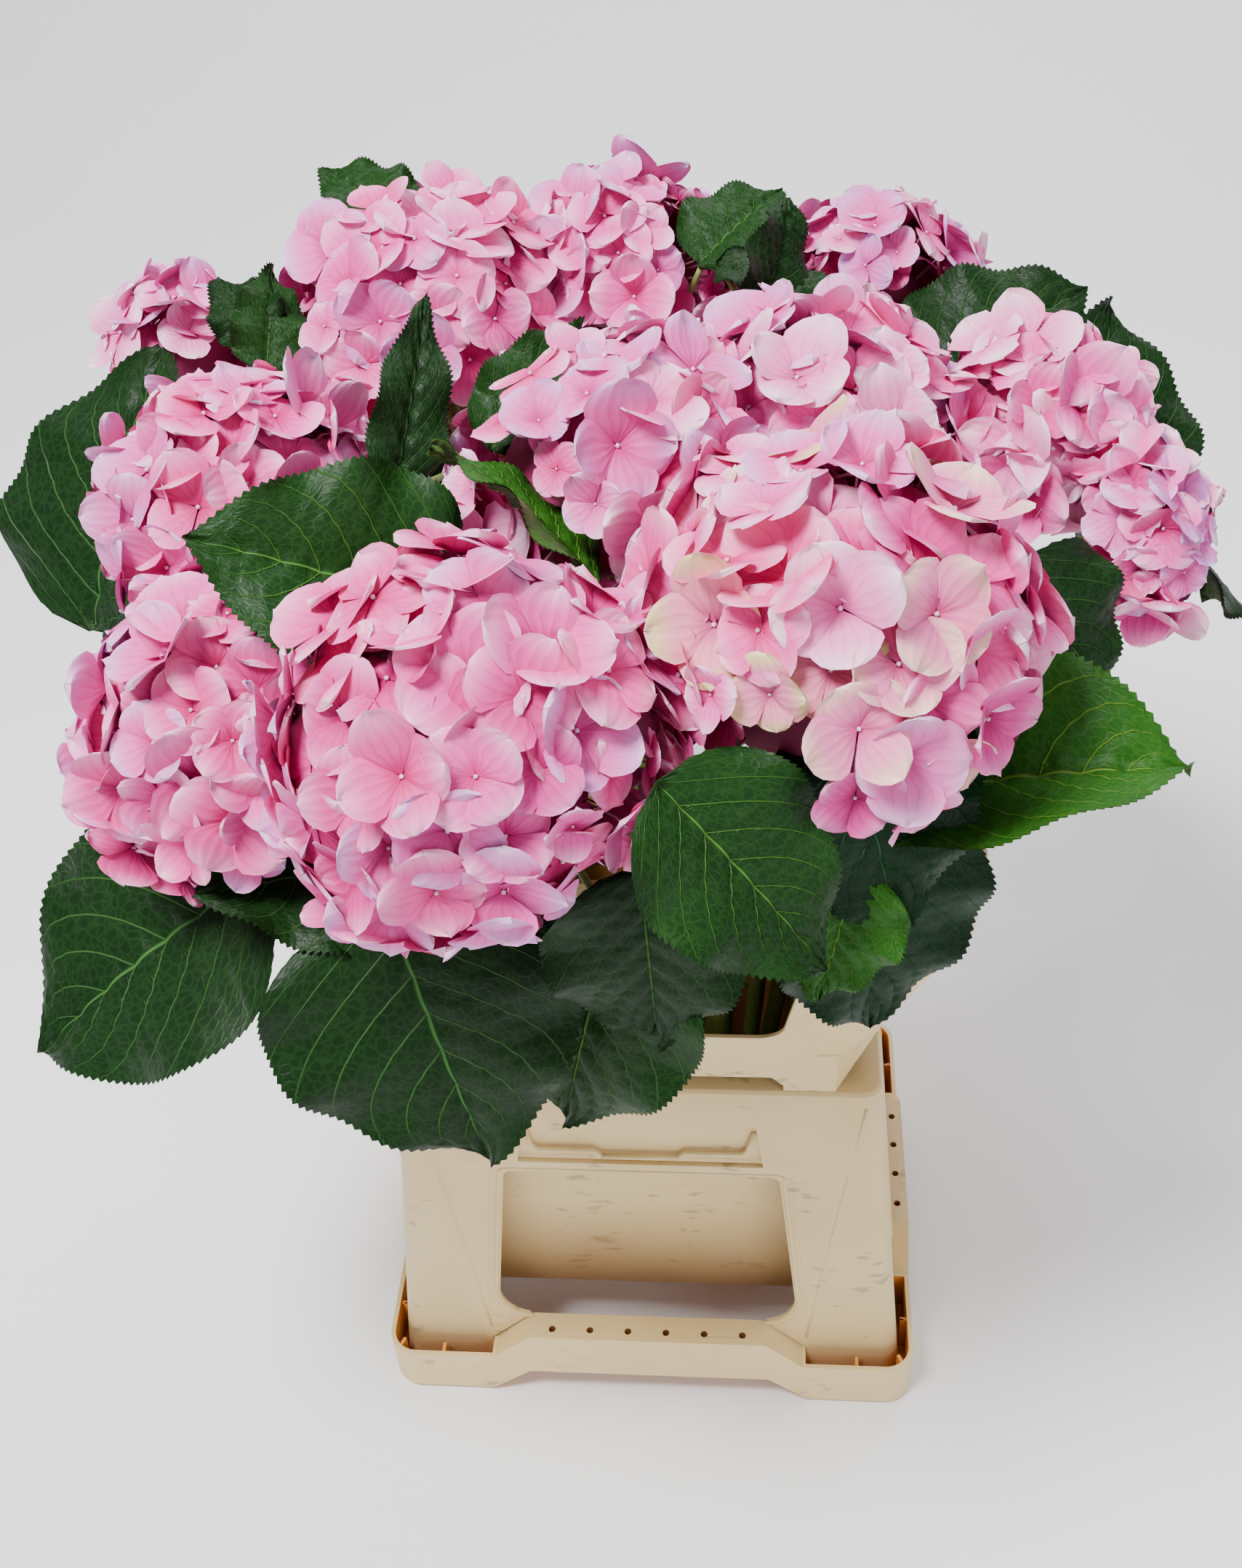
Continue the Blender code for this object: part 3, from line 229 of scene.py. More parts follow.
def petal_finish():
    made, tree, shader = shader_of("hydrangea sepal, soft and matt")
    here = add(tree, "ShaderNodeUVMap", uv_map="OFBake")
    grown = add(tree, "ShaderNodeVectorMath", {0: here.outputs[0], 1: (TILES, TILES, 1.0)}, operation="MULTIPLY")
    corner = add(tree, "ShaderNodeVectorMath", {0: grown.outputs[0]}, operation="FLOOR")
    local = add(tree, "ShaderNodeVectorMath", {0: grown.outputs[0], 1: corner.outputs[0]}, operation="SUBTRACT")
    split = add(tree, "ShaderNodeSeparateXYZ", {0: corner.outputs[0]})
    row = add(tree, "ShaderNodeMath", {0: split.outputs["Y"], 1: TILES, 2: split.outputs["X"]}, operation="MULTIPLY_ADD")
    number = add(tree, "ShaderNodeMath", {0: row.outputs[0], 1: 0.5}, operation="ADD")
    number = add(tree, "ShaderNodeMath", {0: number.outputs[0], 1: len(PINKS)}, operation="DIVIDE").outputs[0]
    side, along = [add(tree, "ShaderNodeSeparateXYZ", {0: local.outputs[0]}).outputs[i] for i in (0, 1)]
    heart, middle, rim = [tile_ramp(tree, number, column) for column in (0, 1, 2)]
    to_middle = add(
        tree, "ShaderNodeMapRange", {"Value": along, "From Min": 0.02, "From Max": 0.42},
        interpolation_type="SMOOTHSTEP",
    )
    inner = add(
        tree, "ShaderNodeMix", {"Factor": to_middle.outputs[0], "A": heart, "B": middle}, data_type="RGBA"
    )
    to_rim = add(
        tree, "ShaderNodeMapRange", {"Value": along, "From Min": 0.45, "From Max": 1.0},
        interpolation_type="SMOOTHSTEP",
    )
    outer = add(
        tree, "ShaderNodeMix",
        {"Factor": to_rim.outputs[0], "A": inner.outputs["Result"], "B": rim}, data_type="RGBA",
    )
    hem = add(tree, "ShaderNodeMapRange", {"Value": along, "From Min": 0.90, "From Max": 0.985, "To Max": 0.5})
    hemmed = add(
        tree, "ShaderNodeMix",
        {"Factor": hem.outputs[0], "A": outer.outputs["Result"], "B": linear("#FBE4F0")}, data_type="RGBA",
    )
    swayed = add(tree, "ShaderNodeTexNoise", {"Vector": here.outputs[0], "Scale": 22.0, "Detail": 3.0})
    sway = add(tree, "ShaderNodeMath", {0: swayed.outputs["Fac"], 1: 0.10, 2: side}, operation="MULTIPLY_ADD")
    fan = add(tree, "ShaderNodeMath", {0: sway.outputs[0], 1: 38.0}, operation="MULTIPLY")
    wave = add(tree, "ShaderNodeMath", {0: fan.outputs[0]}, operation="SINE")
    sharp = add(tree, "ShaderNodeMapRange", {"Value": wave.outputs[0], "From Min": 0.55, "From Max": 1.0})
    fade = add(tree, "ShaderNodeMapRange", {"Value": along, "From Min": 0.95, "From Max": 0.25, "To Max": 0.42})
    vein = add(tree, "ShaderNodeMath", {0: sharp.outputs[0], 1: fade.outputs[0]}, operation="MULTIPLY")
    veined = add(
        tree, "ShaderNodeMix",
        {"Factor": vein.outputs[0], "A": hemmed.outputs["Result"], "B": heart}, data_type="RGBA",
    )
    tree.links.new(veined.outputs["Result"], shader.inputs["Base Color"])
    bump = add(tree, "ShaderNodeBump", {"Height": wave.outputs[0], "Strength": 0.25, "Distance": 0.0003})
    tree.links.new(bump.outputs[0], shader.inputs["Normal"])
    shader.inputs["Roughness"].default_value = 0.62
    shader.inputs["Specular IOR Level"].default_value = 0.25
    shader.inputs["Subsurface Weight"].default_value = 0.10
    shader.inputs["Subsurface Radius"].default_value = (1.0, 0.35, 0.6)
    shader.inputs["Subsurface Scale"].default_value = 0.003
    return made


sepal_finish = petal_finish()

# %% Leaves
GREENS = [("#071C08", "#3E6A32"), ("#0B2A0A", "#4A7A30"), ("#1E5212", "#74A03A"), ("#082012", "#2C5A38")]
LEAF_TILES = 2


def leaf_finish(name, lighten):
    made, tree, shader = shader_of(name)
    here = add(tree, "ShaderNodeUVMap", uv_map="OFBake")
    grown = add(
        tree, "ShaderNodeVectorMath", {0: here.outputs[0], 1: (LEAF_TILES, LEAF_TILES, 1.0)}, operation="MULTIPLY"
    )
    corner = add(tree, "ShaderNodeVectorMath", {0: grown.outputs[0]}, operation="FLOOR")
    local = add(tree, "ShaderNodeVectorMath", {0: grown.outputs[0], 1: corner.outputs[0]}, operation="SUBTRACT")
    split = add(tree, "ShaderNodeSeparateXYZ", {0: corner.outputs[0]})
    number = add(
        tree, "ShaderNodeMath", {0: split.outputs["Y"], 1: LEAF_TILES, 2: split.outputs["X"]},
        operation="MULTIPLY_ADD",
    )
    number = add(tree, "ShaderNodeMath", {0: number.outputs[0], 1: 0.5}, operation="ADD")
    number = add(tree, "ShaderNodeMath", {0: number.outputs[0], 1: len(GREENS)}, operation="DIVIDE").outputs[0]
    ramps = []
    for column in (0, 1):
        ramp = add(tree, "ShaderNodeValToRGB", {"Fac": number})
        ramp.color_ramp.interpolation = "CONSTANT"
        stops = ramp.color_ramp.elements
        while len(stops) < len(GREENS):
            stops.new(0.5)
        for i, tints in enumerate(GREENS):
            stops[i].position = i / len(GREENS)
        for i, tints in enumerate(GREENS):
            stops[i].color = linear(tints[column])
        ramps.append(ramp.outputs["Color"])
    blade, rib = ramps
    side, along = [add(tree, "ShaderNodeSeparateXYZ", {0: local.outputs[0]}).outputs[i] for i in (0, 1)]
    off = add(tree, "ShaderNodeMath", {0: side, 1: 0.5}, operation="SUBTRACT")
    off = add(tree, "ShaderNodeMath", {0: off.outputs[0]}, operation="ABSOLUTE")
    off = add(tree, "ShaderNodeMath", {0: off.outputs[0], 1: 2.0}, operation="MULTIPLY").outputs[0]
    square = add(tree, "ShaderNodeMath", {0: off, 1: off}, operation="MULTIPLY")
    curve = add(tree, "ShaderNodeMath", {0: off, 1: -VEIN_SLOPE, 2: along}, operation="MULTIPLY_ADD")
    curve = add(
        tree, "ShaderNodeMath", {0: square.outputs[0], 1: -VEIN_CURVE, 2: curve.outputs[0]},
        operation="MULTIPLY_ADD",
    )
    phase = add(tree, "ShaderNodeMath", {0: curve.outputs[0], 1: VEIN_STEP}, operation="PINGPONG")
    to_vein = add(
        tree, "ShaderNodeMapRange", {"Value": phase.outputs[0], "From Min": 0.0055, "From Max": 0.0},
    )
    short = add(tree, "ShaderNodeMapRange", {"Value": off, "From Min": 1.0, "From Max": 0.55, "To Min": 0.25})
    side_vein = add(tree, "ShaderNodeMath", {0: to_vein.outputs[0], 1: short.outputs[0]}, operation="MULTIPLY")
    midrib = add(tree, "ShaderNodeMapRange", {"Value": off, "From Min": 0.019, "From Max": 0.005})
    veins = add(tree, "ShaderNodeMath", {0: side_vein.outputs[0], 1: midrib.outputs[0]}, operation="MAXIMUM")
    net = add(
        tree, "ShaderNodeTexVoronoi", {"Vector": here.outputs[0], "Scale": 62.0}, feature="DISTANCE_TO_EDGE"
    )
    fine = add(
        tree, "ShaderNodeMapRange",
        {"Value": net.outputs["Distance"], "From Min": 0.16, "From Max": 0.0, "To Max": 0.10},
    )
    all_veins = add(tree, "ShaderNodeMath", {0: veins.outputs[0], 1: fine.outputs[0]}, operation="MAXIMUM")
    patchy = add(tree, "ShaderNodeTexNoise", {"Vector": here.outputs[0], "Scale": 9.0, "Detail": 4.0})
    tinted = add(
        tree, "ShaderNodeMix",
        {"Factor": patchy.outputs["Fac"], "A": blade, "B": linear(lighten)}, data_type="RGBA",
    )
    soft = add(tree, "ShaderNodeMix", {"Factor": 0.84, "A": tinted.outputs["Result"], "B": blade}, data_type="RGBA")
    colour = add(
        tree, "ShaderNodeMix",
        {"Factor": all_veins.outputs[0], "A": soft.outputs["Result"], "B": rib}, data_type="RGBA",
    )
    tree.links.new(colour.outputs["Result"], shader.inputs["Base Color"])
    bump = add(
        tree, "ShaderNodeBump", {"Height": all_veins.outputs[0], "Strength": 0.8, "Distance": -0.0010}
    )
    tree.links.new(bump.outputs[0], shader.inputs["Normal"])
    shader.inputs["Roughness"].default_value = 0.42
    shader.inputs["Specular IOR Level"].default_value = 0.13
    return made


VEIN_STEP = 0.066
VEIN_SLOPE = 0.26
VEIN_CURVE = 0.14
leaf_top = leaf_finish("hydrangea leaf, upper side, half glossy", "#2A5E1E")
leaf_under = leaf_finish("hydrangea leaf, underside, pale and matt", "#A9C28A")
leaf_under.node_tree.nodes["Principled BSDF"].inputs["Roughness"].default_value = 0.7

# %% Stems, stalks and the painted shade inside a head
def bark_finish():
    made, tree, shader = shader_of("green hydrangea stem, half woody")
    place = add(tree, "ShaderNodeTexCoord").outputs["Object"]
    drawn = add(tree, "ShaderNodeMapping", {"Vector": place, "Scale": (900.0, 900.0, 60.0)})
    streak = add(tree, "ShaderNodeTexNoise", {"Vector": drawn.outputs[0], "Scale": 1.0, "Detail": 4.0})
    spots = add(tree, "ShaderNodeTexVoronoi", {"Vector": place, "Scale": 1 / 0.006})
    lens = add(
        tree, "ShaderNodeMapRange", {"Value": spots.outputs["Distance"], "From Min": 0.16, "From Max": 0.08}
    )
    base = add(
        tree, "ShaderNodeMix",
        {"Factor": streak.outputs["Fac"], "A": linear("#4E6B2A"), "B": linear("#86994A")}, data_type="RGBA",
    )
    colour = add(
        tree, "ShaderNodeMix",
        {"Factor": lens.outputs[0], "A": base.outputs["Result"], "B": linear("#5A3A2A")}, data_type="RGBA",
    )
    tree.links.new(colour.outputs["Result"], shader.inputs["Base Color"])
    bump = add(
        tree, "ShaderNodeBump", {"Height": streak.outputs["Fac"], "Strength": 0.4, "Distance": 0.0004}
    )
    tree.links.new(bump.outputs[0], shader.inputs["Normal"])
    shader.inputs["Roughness"].default_value = 0.5
    return made


def plain_finish(name, dark, light, grain, roughness):
    made, tree, shader = shader_of(name)
    place = add(tree, "ShaderNodeTexCoord").outputs["Object"]
    mottled = add(tree, "ShaderNodeTexNoise", {"Vector": place, "Scale": 1 / grain, "Detail": 3.0})
    colour = add(
        tree, "ShaderNodeMix",
        {"Factor": mottled.outputs["Fac"], "A": linear(dark), "B": linear(light)}, data_type="RGBA",
    )
    tree.links.new(colour.outputs["Result"], shader.inputs["Base Color"])
    shader.inputs["Roughness"].default_value = roughness
    return made


stem_finish = bark_finish()
stalk_finish = plain_finish("young green stalk", "#5C7A34", "#9DB35E", 0.004, 0.5)
pedicel_finish = plain_finish("floret stalk, pink and green", "#B95C7C", "#C98FA0", 0.006, 0.55)
# painted shade: the dark magenta of the head's core stands in for the shade inside a head
core_painted_shade = plain_finish("shaded inside of a head", "#7A1444", "#98285C", 0.010, 0.7)
bead_finish = plain_finish("floret heart, waxy bud", "#E6A8C4", "#F3E4EC", 0.0012, 0.35)

# %% [markdown]
# ## The container
#
# The real one is three mouldings pushed together: a foot tray, a body with four open windows round an inner
# tub, and a collar that holds the stems. Lofts and prisms cut by Booleans give the walls their true edges,
# and a small bevel gives the rounded arrises of a moulding.

# %% Outlines, lofts and prisms
def rounded_outline(half_x, half_y, corner, steps=8, flat=0.0):
    points = []
    for quarter in range(4):
        sx = (1, -1, -1, 1)[quarter]
        sy = (1, 1, -1, -1)[quarter]
        cx = sx * (half_x - corner)
        cy = sy * (half_y - corner)
        start = quarter * math.pi / 2.0
        first = Vector((cx + corner * math.cos(start), cy + corner * math.sin(start)))
        last = Vector((cx - corner * math.sin(start), cy + corner * math.cos(start)))
        for step in range(steps + 1):
            part = step / steps
            turn = start + part * math.pi / 2.0
            arc = Vector((cx + corner * math.cos(turn), cy + corner * math.sin(turn)))
            points.append(arc.lerp(first.lerp(last, part), flat))
    return points


def closed(bm, name):
    bmesh.ops.recalc_face_normals(bm, faces=bm.faces)
    if bm.calc_volume(signed=True) < 0.0:
        bmesh.ops.reverse_faces(bm, faces=bm.faces)
    mesh = bpy.data.meshes.new(name)
    bm.to_mesh(mesh)
    bm.free()
    return new_object(name, mesh)


def loft(name, levels):
    bm = bmesh.new()
    rings = [[bm.verts.new((p.x, p.y, z)) for p in outline] for outline, z in levels]
    bm.faces.new(reversed(rings[0]))
    bm.faces.new(rings[-1])
    for low, high in zip(rings, rings[1:]):
        for i in range(len(low)):
            j = (i + 1) % len(low)
            bm.faces.new((low[i], low[j], high[j], high[i]))
    return closed(bm, name)


def prism(name, outline, low, high, axis):
    bm = bmesh.new()
    corners = []
    for a, b in outline:
        spot = (a, low, b) if axis == "Y" else (low, a, b) if axis == "X" else (a, b, low)
        corners.append(bm.verts.new(spot))
    face = bm.faces.new(corners)
    grown = bmesh.ops.extrude_face_region(bm, geom=[face])
    moved = [item for item in grown["geom"] if isinstance(item, bmesh.types.BMVert)]
    step = {"X": (high - low, 0, 0), "Y": (0, high - low, 0), "Z": (0, 0, high - low)}[axis]
    bmesh.ops.translate(bm, verts=moved, vec=step)
    return closed(bm, name)


def block(low, high):
    outline = [(low[0], low[1]), (high[0], low[1]), (high[0], high[1]), (low[0], high[1])]
    return prism("block", outline, low[2], high[2], "Z")


def combined(target, others, operation):
    group = bpy.data.collections.new("cutters")
    bpy.context.scene.collection.children.link(group)
    for item in others:
        work.objects.unlink(item)
        group.objects.link(item)
    change = target.modifiers.new("join", "BOOLEAN")
    change.operation = operation
    change.operand_type = "COLLECTION"
    change.collection = group
    change.solver = "EXACT"
    name = target.name
    made = applied(target, name)
    for item in others:
        bpy.data.objects.remove(item)
    bpy.data.collections.remove(group)
    return made


def softened(item, width, angle=32.0):
    """Rounds the arrises and shades the faces smooth between them."""
    name = item.name
    bevel = item.modifiers.new("arris", "BEVEL")
    bevel.width = width
    bevel.segments = 2
    bevel.limit_method = "ANGLE"
    bevel.angle_limit = math.radians(angle)
    bevel.use_clamp_overlap = True
    made = applied(item, name)
    for face in made.data.polygons:
        face.use_smooth = True
    made.data.set_sharp_from_angle(angle=math.radians(38.0))
    return made


# %% Foot tray
TRAY_W = 0.300
TRAY_D = 0.258
TRAY_CORNER = 0.016
TRAY_WALL = 0.0025
TRAY_BAND = 0.016
TRAY_FLOOR = 0.006
FOOT_H = 0.036
RAIL_H = 0.0575
RAIL_UNDER = 0.022
RAIL_HALF_FRONT = 0.0663
RAIL_HALF_SIDE = 0.045
RAIL_SLOPE = 0.0213
HOLE_D = 0.004
HOLE_STEP = 0.0214
HOLE_INSET = 0.0060
RIB_T = 0.0018
RIB_AT_X = 0.118
RIB_AT_Y = 0.094
BODY_X0 = 0.1415
BODY_Y0 = 0.117
BODY_Z0 = 0.030
BODY_LEAN_X = 0.0875
BODY_LEAN_Y = 0.085
BODY_WALL = 0.0025
BODY_CORNER = 0.010
POST_FOOT = TRAY_FLOOR + GAP


def body_half(z):
    fall = z - BODY_Z0
    return BODY_X0 - BODY_LEAN_X * fall, BODY_Y0 - BODY_LEAN_Y * fall


def rail_profile(half, flat_half):
    right = [(half, 0.0), (half, FOOT_H), (flat_half + RAIL_SLOPE, FOOT_H), (flat_half, RAIL_H)]
    under = [(flat_half + 0.002, RAIL_UNDER), (flat_half + RAIL_SLOPE + 0.006, 0.0)]
    left = [(-a, b) for a, b in reversed(right)]
    under_left = [(-a, b) for a, b in reversed(under)]
    return right + left + under_left + under


def drill(spot):
    bm = bmesh.new()
    bmesh.ops.create_cone(bm, cap_ends=True, segments=20, radius1=HOLE_D / 2, radius2=HOLE_D / 2, depth=0.012)
    bmesh.ops.translate(bm, vec=(spot[0], spot[1], RAIL_H), verts=bm.verts)
    return closed(bm, "hole")


def foot_tray():
    half_x = TRAY_W / 2.0
    half_y = TRAY_D / 2.0
    front = rail_profile(half_x, RAIL_HALF_FRONT)
    side = rail_profile(half_y, RAIL_HALF_SIDE)
    tray = prism("foot_tray", front, -half_y, -half_y + TRAY_BAND, "Y")
    others = [
        prism("side", front, half_y - TRAY_BAND, half_y, "Y"),
        prism("side", side, -half_x, -half_x + TRAY_BAND, "X"),
        prism("side", side, half_x - TRAY_BAND, half_x, "X"),
    ]
    tray = combined(tray, others, "UNION")
    outer = rounded_outline(half_x, half_y, TRAY_CORNER)
    low = rounded_outline(half_x - 0.002, half_y - 0.002, TRAY_CORNER - 0.002)
    tray = combined(tray, [loft("shape", [(low, 0.0), (outer, 0.003), (outer, 0.07)])], "INTERSECT")
    inner = rounded_outline(half_x - TRAY_WALL, half_y - TRAY_WALL, TRAY_CORNER - TRAY_WALL)
    pocket = loft("pocket", [(inner, TRAY_FLOOR), (inner, 0.07)])
    keep_x = RAIL_HALF_FRONT + RAIL_SLOPE + 0.0015
    keep_y = RAIL_HALF_SIDE + RAIL_SLOPE + 0.0015
    keep = [
        block((-keep_x, -0.2, 0.0), (keep_x, 0.2, 0.1)),
        block((-0.2, -keep_y, 0.0), (0.2, keep_y, 0.1)),
    ]
    pocket = combined(pocket, keep, "DIFFERENCE")
    cutters = [pocket]
    for sign in (-1, 1):
        cutters += [drill(((row - 2.5) * HOLE_STEP, sign * (half_y - HOLE_INSET))) for row in range(6)]
        cutters += [drill((sign * (half_x - HOLE_INSET), (row - 1.5) * HOLE_STEP)) for row in range(4)]
    tray = combined(tray, cutters, "DIFFERENCE")
    ribs = []
    post_x, post_y = body_half(POST_FOOT)
    for sx in (-1, 1):
        for sy in (-1, 1):
            span = sorted((sy * (half_y - 0.001), sy * (post_y + GAP)))
            at = sx * RIB_AT_X
            ribs.append(block((at - RIB_T / 2, span[0], 0.003), (at + RIB_T / 2, span[1], 0.033)))
            span = sorted((sx * (half_x - 0.001), sx * (post_x + GAP)))
            at = sy * RIB_AT_Y
            ribs.append(block((span[0], at - RIB_T / 2, 0.003), (span[1], at + RIB_T / 2, 0.033)))
            near = Vector((sx * (post_x - 0.002), sy * (post_y - 0.002)))
            far = Vector((sx * (half_x - 0.0055), sy * (half_y - 0.0055)))
            side = Vector((far.y - near.y, near.x - far.x)).normalized() * RIB_T / 2
            corners = [near + side, far + side, far - side, near - side]
            ribs.append(prism("rib", [tuple(c) for c in corners], 0.003, 0.033, "Z"))
    tray = combined(tray, ribs, "UNION")
    return softened(tray, 0.0006)


tray = foot_tray()
# painted shade: the third finish, the darker inner wall, goes on the walls of the rail holes
for finish in (cream, amber, inside):
    tray.data.materials.append(finish)
hole_rows = [((row - 2.5) * HOLE_STEP, TRAY_D / 2.0 - HOLE_INSET) for row in range(6)]
hole_rows += [(TRAY_W / 2.0 - HOLE_INSET, (row - 1.5) * HOLE_STEP) for row in range(4)]
# painted light: the walls of the tray's corner pockets and bands take the amber glow finish
for face in tray.data.polygons:
    x, y, z = face.center
    past_x = abs(x) - (TRAY_W / 2.0 - TRAY_CORNER)
    past_y = abs(y) - (TRAY_D / 2.0 - TRAY_CORNER)
    round_corner = past_x > 0.0 and past_y > 0.0
    depth = TRAY_CORNER - (math.hypot(past_x, past_y) if round_corner else max(past_x, past_y))
    pocket_side = depth > 0.0018 and z > TRAY_FLOOR - 0.001 and z < FOOT_H - 0.001
    corner = abs(x) > RAIL_HALF_FRONT + RAIL_SLOPE and abs(y) > RAIL_HALF_SIDE + RAIL_SLOPE
    band = abs(x) > RAIL_HALF_FRONT + RAIL_SLOPE or abs(y) > RAIL_HALF_SIDE + RAIL_SLOPE
    face.material_index = 1 if pocket_side and (corner or band) else 0
    near = min(min(math.hypot(x - sx * a, y - sy * b) for sx in (-1, 1) for sy in (-1, 1)) for a, b in hole_rows)
    if near < HOLE_D / 2.0 + 0.0001 and RAIL_H - 0.008 < z < RAIL_H - 0.0005:
        face.material_index = 2
places = [a + "_" + b for a in ("front", "back") for b in ("left", "right")]
sides = ["front", "back", "left", "right"]
settle(tray, ["tray_corner_" + p for p in places] + ["tray_rail_" + s for s in sides])

# %% Body with its windows, header and inner tub
BAND_Z = 0.179
RIM_Z = 0.242
WINDOW_HALF_FOOT = 0.0825
WINDOW_HALF_TOP = 0.0728
WINDOW_ROUND = 0.020
TUB_FLOOR = 0.045
TUB_WALL = 0.0025
TUB_X0 = 0.110
TUB_Y0 = 0.089
TUB_X1 = 0.1125
TUB_Y1 = 0.0905
TUB_CORNER = 0.016


def window_right(foot_half, top_half, rail_half):
    """Right half of a window's edge: round at the foot, slanted up to a small round at the top."""
    rail_z = RAIL_H + GAP
    arc_x = foot_half - WINDOW_ROUND
    points = []
    for step in range(9):
        turn = -math.pi / 2.0 + step * math.pi / 16.0
        points.append((arc_x + WINDOW_ROUND * math.cos(turn), rail_z + WINDOW_ROUND * (1.0 + math.sin(turn))))
    ease = 0.005
    for step in range(5):
        turn = step * math.pi / 8.0
        points.append((top_half - ease + ease * math.cos(turn), BAND_Z - ease + ease * math.sin(turn)))
    return points


def full_window(foot_half, top_half, rail_half):
    """Window outline carried down over the rail and past the feet, as in the solids."""
    right = [(rail_half + RAIL_SLOPE + 0.002, -0.01), (rail_half + RAIL_SLOPE + 0.002, FOOT_H + 0.0005)]
    right.append((rail_half + 0.0005, RAIL_H + GAP))
    right += window_right(foot_half, top_half, rail_half)[1:]
    return right + [(-a, b) for a, b in reversed(right)]


def body():
    low_x, low_y = body_half(POST_FOOT)
    band_x, band_y = body_half(BAND_Z)
    top_x, top_y = body_half(RIM_Z)
    corner = BODY_CORNER
    shell = loft("body", [
        (rounded_outline(low_x, low_y, corner), POST_FOOT),
        (rounded_outline(band_x, band_y, corner), BAND_Z + 0.002),
        (rounded_outline(band_x + 0.0004, band_y + 0.0004, corner), BAND_Z + 0.0035),
        (rounded_outline(top_x + 0.0004, top_y + 0.0004, corner), RIM_Z - 0.002),
        (rounded_outline(top_x - 0.0012, top_y - 0.0012, corner - 0.0012), RIM_Z),
    ])
    wall = BODY_WALL
    past_x, past_y = body_half(POST_FOOT - 0.01)
    lid = RIM_Z - 0.0035
    lid_x, lid_y = body_half(lid)
    hollow = loft("hollow", [
        (rounded_outline(past_x - wall, past_y - wall, corner - wall), POST_FOOT - 0.01),
        (rounded_outline(lid_x - wall, lid_y - wall, corner - wall), lid),
    ])
    narrow = RAIL_HALF_FRONT - RAIL_HALF_SIDE
    front = full_window(WINDOW_HALF_FOOT, WINDOW_HALF_TOP, RAIL_HALF_FRONT)
    side = full_window(WINDOW_HALF_FOOT - narrow, WINDOW_HALF_TOP - narrow, RAIL_HALF_SIDE)
    cutters = [hollow, prism("window", front, -0.2, 0.2, "Y"), prism("window", side, -0.2, 0.2, "X")]
    for sign in (-1, 1):
        outline = [(-0.064, 0.187), (0.064, 0.187), (0.060, 0.2165), (-0.060, 0.2165)]
        face = body_half(0.200)[1]
        span = sorted((sign * (face - 0.0016), sign * (face + 0.02)))
        cutters.append(prism("recess", outline, span[0], span[1], "Y"))
    shell = combined(shell, cutters, "DIFFERENCE")
    tub_outer = loft("tub_outer", [
        (rounded_outline(TUB_X0 - 0.008, TUB_Y0 - 0.008, TUB_CORNER - 0.008), TUB_FLOOR),
        (rounded_outline(TUB_X0, TUB_Y0, TUB_CORNER), TUB_FLOOR + 0.010),
        (rounded_outline(TUB_X1, TUB_Y1, TUB_CORNER), RIM_Z - 0.001),
    ])
    shell = combined(shell, [tub_outer], "UNION")
    wall = TUB_WALL
    hollow = loft("hollow", [
        (rounded_outline(TUB_X0 - 0.010, TUB_Y0 - 0.010, TUB_CORNER - 0.008), TUB_FLOOR + wall),
        (rounded_outline(TUB_X0 - wall, TUB_Y0 - wall, TUB_CORNER - wall), TUB_FLOOR + 0.012),
        (rounded_outline(TUB_X1 - wall, TUB_Y1 - wall, TUB_CORNER - wall), RIM_Z + 0.01),
    ])
    shell = combined(shell, [hollow], "DIFFERENCE")
    return softened(shell, 0.0007)


shell = body()
# painted shade: the inner walls of the tub take the darker inner wall finish
for finish in (cream, inside, painted_shade_foot):
    shell.data.materials.append(finish)
# painted shade: the outer tub wall below the band takes the finish that darkens brown towards its foot
for face in shell.data.polygons:
    x, y, z = face.center
    within = [abs(x) < TUB_X1 + edge and abs(y) < TUB_Y1 + edge for edge in (-0.001, 0.0006)]
    face.material_index = 1 if within[0] and z < RIM_Z - 0.004 else 2 if within[1] and z < BAND_Z else 0
settle(shell, ["tub"] + ["body_post_" + p for p in places])

# %% Beads round the windows, lips of the label place, creases of the posts
def wire(name, points, radius, closed_line=False, sides_round=2):
    line = bpy.data.curves.new(name, "CURVE")
    line.dimensions = "3D"
    line.bevel_depth = radius
    line.bevel_resolution = sides_round
    line.use_fill_caps = True
    spline = line.splines.new("POLY")
    spline.points.add(len(points) - 1)
    for knot, place in zip(spline.points, points):
        knot.co = (*place, 1.0)
    spline.use_cyclic_u = closed_line
    return applied(new_object(name, line), name)


def joined(name, items):
    bm = bmesh.new()
    for item in items:
        bm.from_mesh(item.data)
        bpy.data.objects.remove(item)
    bmesh.ops.remove_doubles(bm, verts=bm.verts, dist=0.000001)
    mesh = bpy.data.meshes.new(name)
    bm.to_mesh(mesh)
    bm.free()
    for face in mesh.polygons:
        face.use_smooth = True
    return new_object(name, mesh)


def on_face(a, z, sign, axis, proud):
    """Point on the leaning outer face of the body, a across and z up, standing proud of it."""
    half_x, half_y = body_half(z)
    return (a, sign * (half_y + proud), z) if axis == "Y" else (sign * (half_x + proud), a, z)


